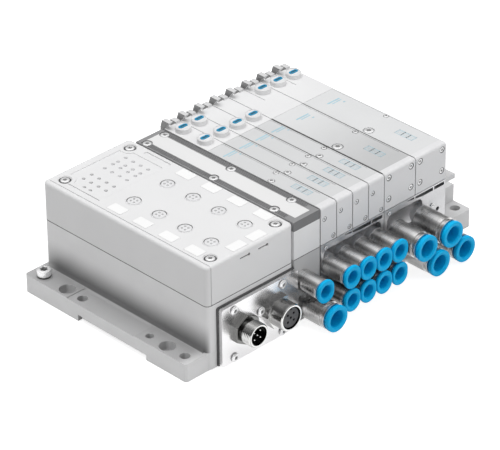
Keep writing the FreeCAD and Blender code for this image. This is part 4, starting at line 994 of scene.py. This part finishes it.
def frame_strip(name, low, high, corner, inset, z0, z1, width):
    """Flat frame in metres that follows a box's outline, with round corners."""
    def ring(reach, z):
        points = []
        radius = max(corner - reach, 0.0002)
        for side_x, side_y, start in ((1, 1, 0), (-1, 1, 90), (-1, -1, 180), (1, -1, 270)):
            centre_x = (high.x if side_x > 0 else low.x) - side_x * (reach + radius)
            centre_y = (high.y if side_y > 0 else low.y) - side_y * (reach + radius)
            for k in range(7):
                angle = math.radians(start + 15 * k)
                points.append((centre_x + radius * math.cos(angle), centre_y + radius * math.sin(angle), z))
        return points

    rings = [ring(inset, z0), ring(inset, z1), ring(inset + width, z1), ring(inset + width, z0)]
    return lofted(name, rings, looped=True, rounded=False)


base_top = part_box("electronics_base")[1].z
seal = frame_strip("cover_seal", cover_low, cover_high, 2.5 * MM, -0.015 * MM, base_top - 0.12 * MM,
                   cover_low.z + 0.14 * MM, 2.2 * MM)
piece("cover_seal", seal, "contact_dark")


def prisms_mesh(name, prisms):
    """Mesh in metres of upright prisms: the four corners of each base, and two heights."""
    points, faces = [], []
    for corners, levels in prisms:
        start = len(points)
        points += [(x, y, z) for z in levels for x, y in corners]
        faces += [[start + i for i in face] for face in ((0, 3, 2, 1), (4, 5, 6, 7), (0, 1, 5, 4),
                                                         (1, 2, 6, 5), (2, 3, 7, 6), (3, 0, 4, 7))]
    mesh = bpy.data.meshes.new(name)
    mesh.from_pydata(points, [], faces)
    return mesh


def boxes_mesh(name, boxes):
    """Mesh in metres of plain boxes, each given by its lowest and highest corner."""
    return prisms_mesh(name, [(((x0, y0), (x1, y0), (x1, y1), (x0, y1)), (z0, z1))
                              for (x0, y0, z0), (x1, y1, z1) in boxes])


# Painted shade: dark bars with round ends in the two slots of the cover's front.
slots = []
for inset in (20.6, 31.9):
    x, y, z = cover_low.x + inset * MM, cover_low.y, cover_high.z - 3.7 * MM
    slots.append(((x + 0.0001, y + 0.0003, z - 0.00029), (x + 0.0056, y + 0.0005, z + 0.00029)))
piece("front_slot_shades", boxes_mesh("front_slot_shades", slots), "contact_dark")
slot_end = turned("slot_end_shade_form", [(0, -0.4), (0.62, -0.4), (0.62, 0.0), (0, 0.0)], 24, 0.0)
slot_ends = [Vector((s[1][0], cover_low.y + 0.0004, (s[0][2] + s[1][2]) / 2)) for s in slots]
repeated("front_slot_ends", to_metres(slot_end, "front"), slot_ends, "contact_dark")

# Painted shade: dark boxes in the gaps between the valves, beside the frame and under its front.
top_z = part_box("valve_body_1")[1].z
bodies = [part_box("valve_body_%d" % k) for k in range(1, 7)]
gaps = []
for k, (one, two) in enumerate(zip(bodies, bodies[1:])):
    x0, x1, sink = one[1].x + 0.005 * MM, two[0].x - 0.005 * MM, 0.06 * MM
    if k == 3:
        x0, x1, sink = x0 - 0.3 * MM, x1 + 0.3 * MM, -0.01 * MM
    gaps.append(((x0, cap_face + 1.6 * MM, 0.040), (x1, one[1].y, top_z - sink)))
    gaps.append(((x0, cap_face + 0.3 * MM, 0.0355), (x1, cap_face + 1.6 * MM, top_z - 1.7 * MM)))
frame_low, frame_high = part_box("label_frame")
gaps.append(((frame_high.x + 0.05 * MM, frame_low.y + 0.5 * MM, 0.036),
             (bodies[0][0].x - 0.05 * MM, frame_high.y - 1 * MM, top_z - 0.4 * MM)))
gaps.append(((frame_low.x + 0.1 * MM, frame_low.y + 0.03 * MM, 0.03442),
             (frame_high.x - 0.1 * MM, frame_low.y + 0.19 * MM, 0.03478)))
piece("valve_gap_fillers", boxes_mesh("valve_gap_fillers", gaps), "contact_dark")
print("seal and slots", len(slots), "gaps", len(gaps))

# %% [markdown]
# The valves carry pale blue printing: a plain pattern of three hatched boxes and three
# short bars, all as a film of ink a few hundredths of a millimetre thick.

# %% Printing on the valves


def stroke(x0, y0, x1, y1, width):
    """Corners of a straight stroke in the plane, with a given width."""
    way = Vector((x1 - x0, y1 - y0)).normalized() * width / 2
    side = Vector((-way.y, way.x))
    ends = (Vector((x0, y0)) - way, Vector((x1, y1)) + way)
    return [ends[0] - side, ends[1] - side, ends[1] + side, ends[0] + side]


SQUARE, LINE, HATCH = 3.6, 0.3, 0.16
symbol = []
half = SQUARE / 2
for k in range(3):
    y = (k - 1) * SQUARE
    symbol += [stroke(-half, y - half, half, y - half, LINE), stroke(-half, y + half, half, y + half, LINE),
               stroke(-half, y - half, -half, y + half, LINE), stroke(half, y - half, half, y + half, LINE)]
    symbol += [stroke(-half + 0.5 * n, y - half, -half + 0.5 * n, y + half, HATCH) for n in range(2, 7, 2)]
bars = [stroke(-4.2, 0.8, 3.0, 0.8, 0.9), stroke(-2.6, -0.7, 2.9, -0.7, 0.6),
        stroke(2.4, -3.2, 2.8, -3.2, 0.8)]
film = []
for k in range(1, 7):
    low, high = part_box("valve_body_%d" % k)
    x, z = low.x + (6.3 if k < 5 else 12.4) * MM, high.z - 0.2 * MM
    for strokes, y in ((symbol, -0.0333), (bars, 0.0125)):
        film += [([(x + p.x * MM, y + p.y * MM) for p in corners], (z - 0.02 * MM, z + 0.03 * MM))
                 for corners in strokes]
piece("valve_prints", prisms_mesh("valve_prints", film), "print_blue")
print("strokes", len(film))
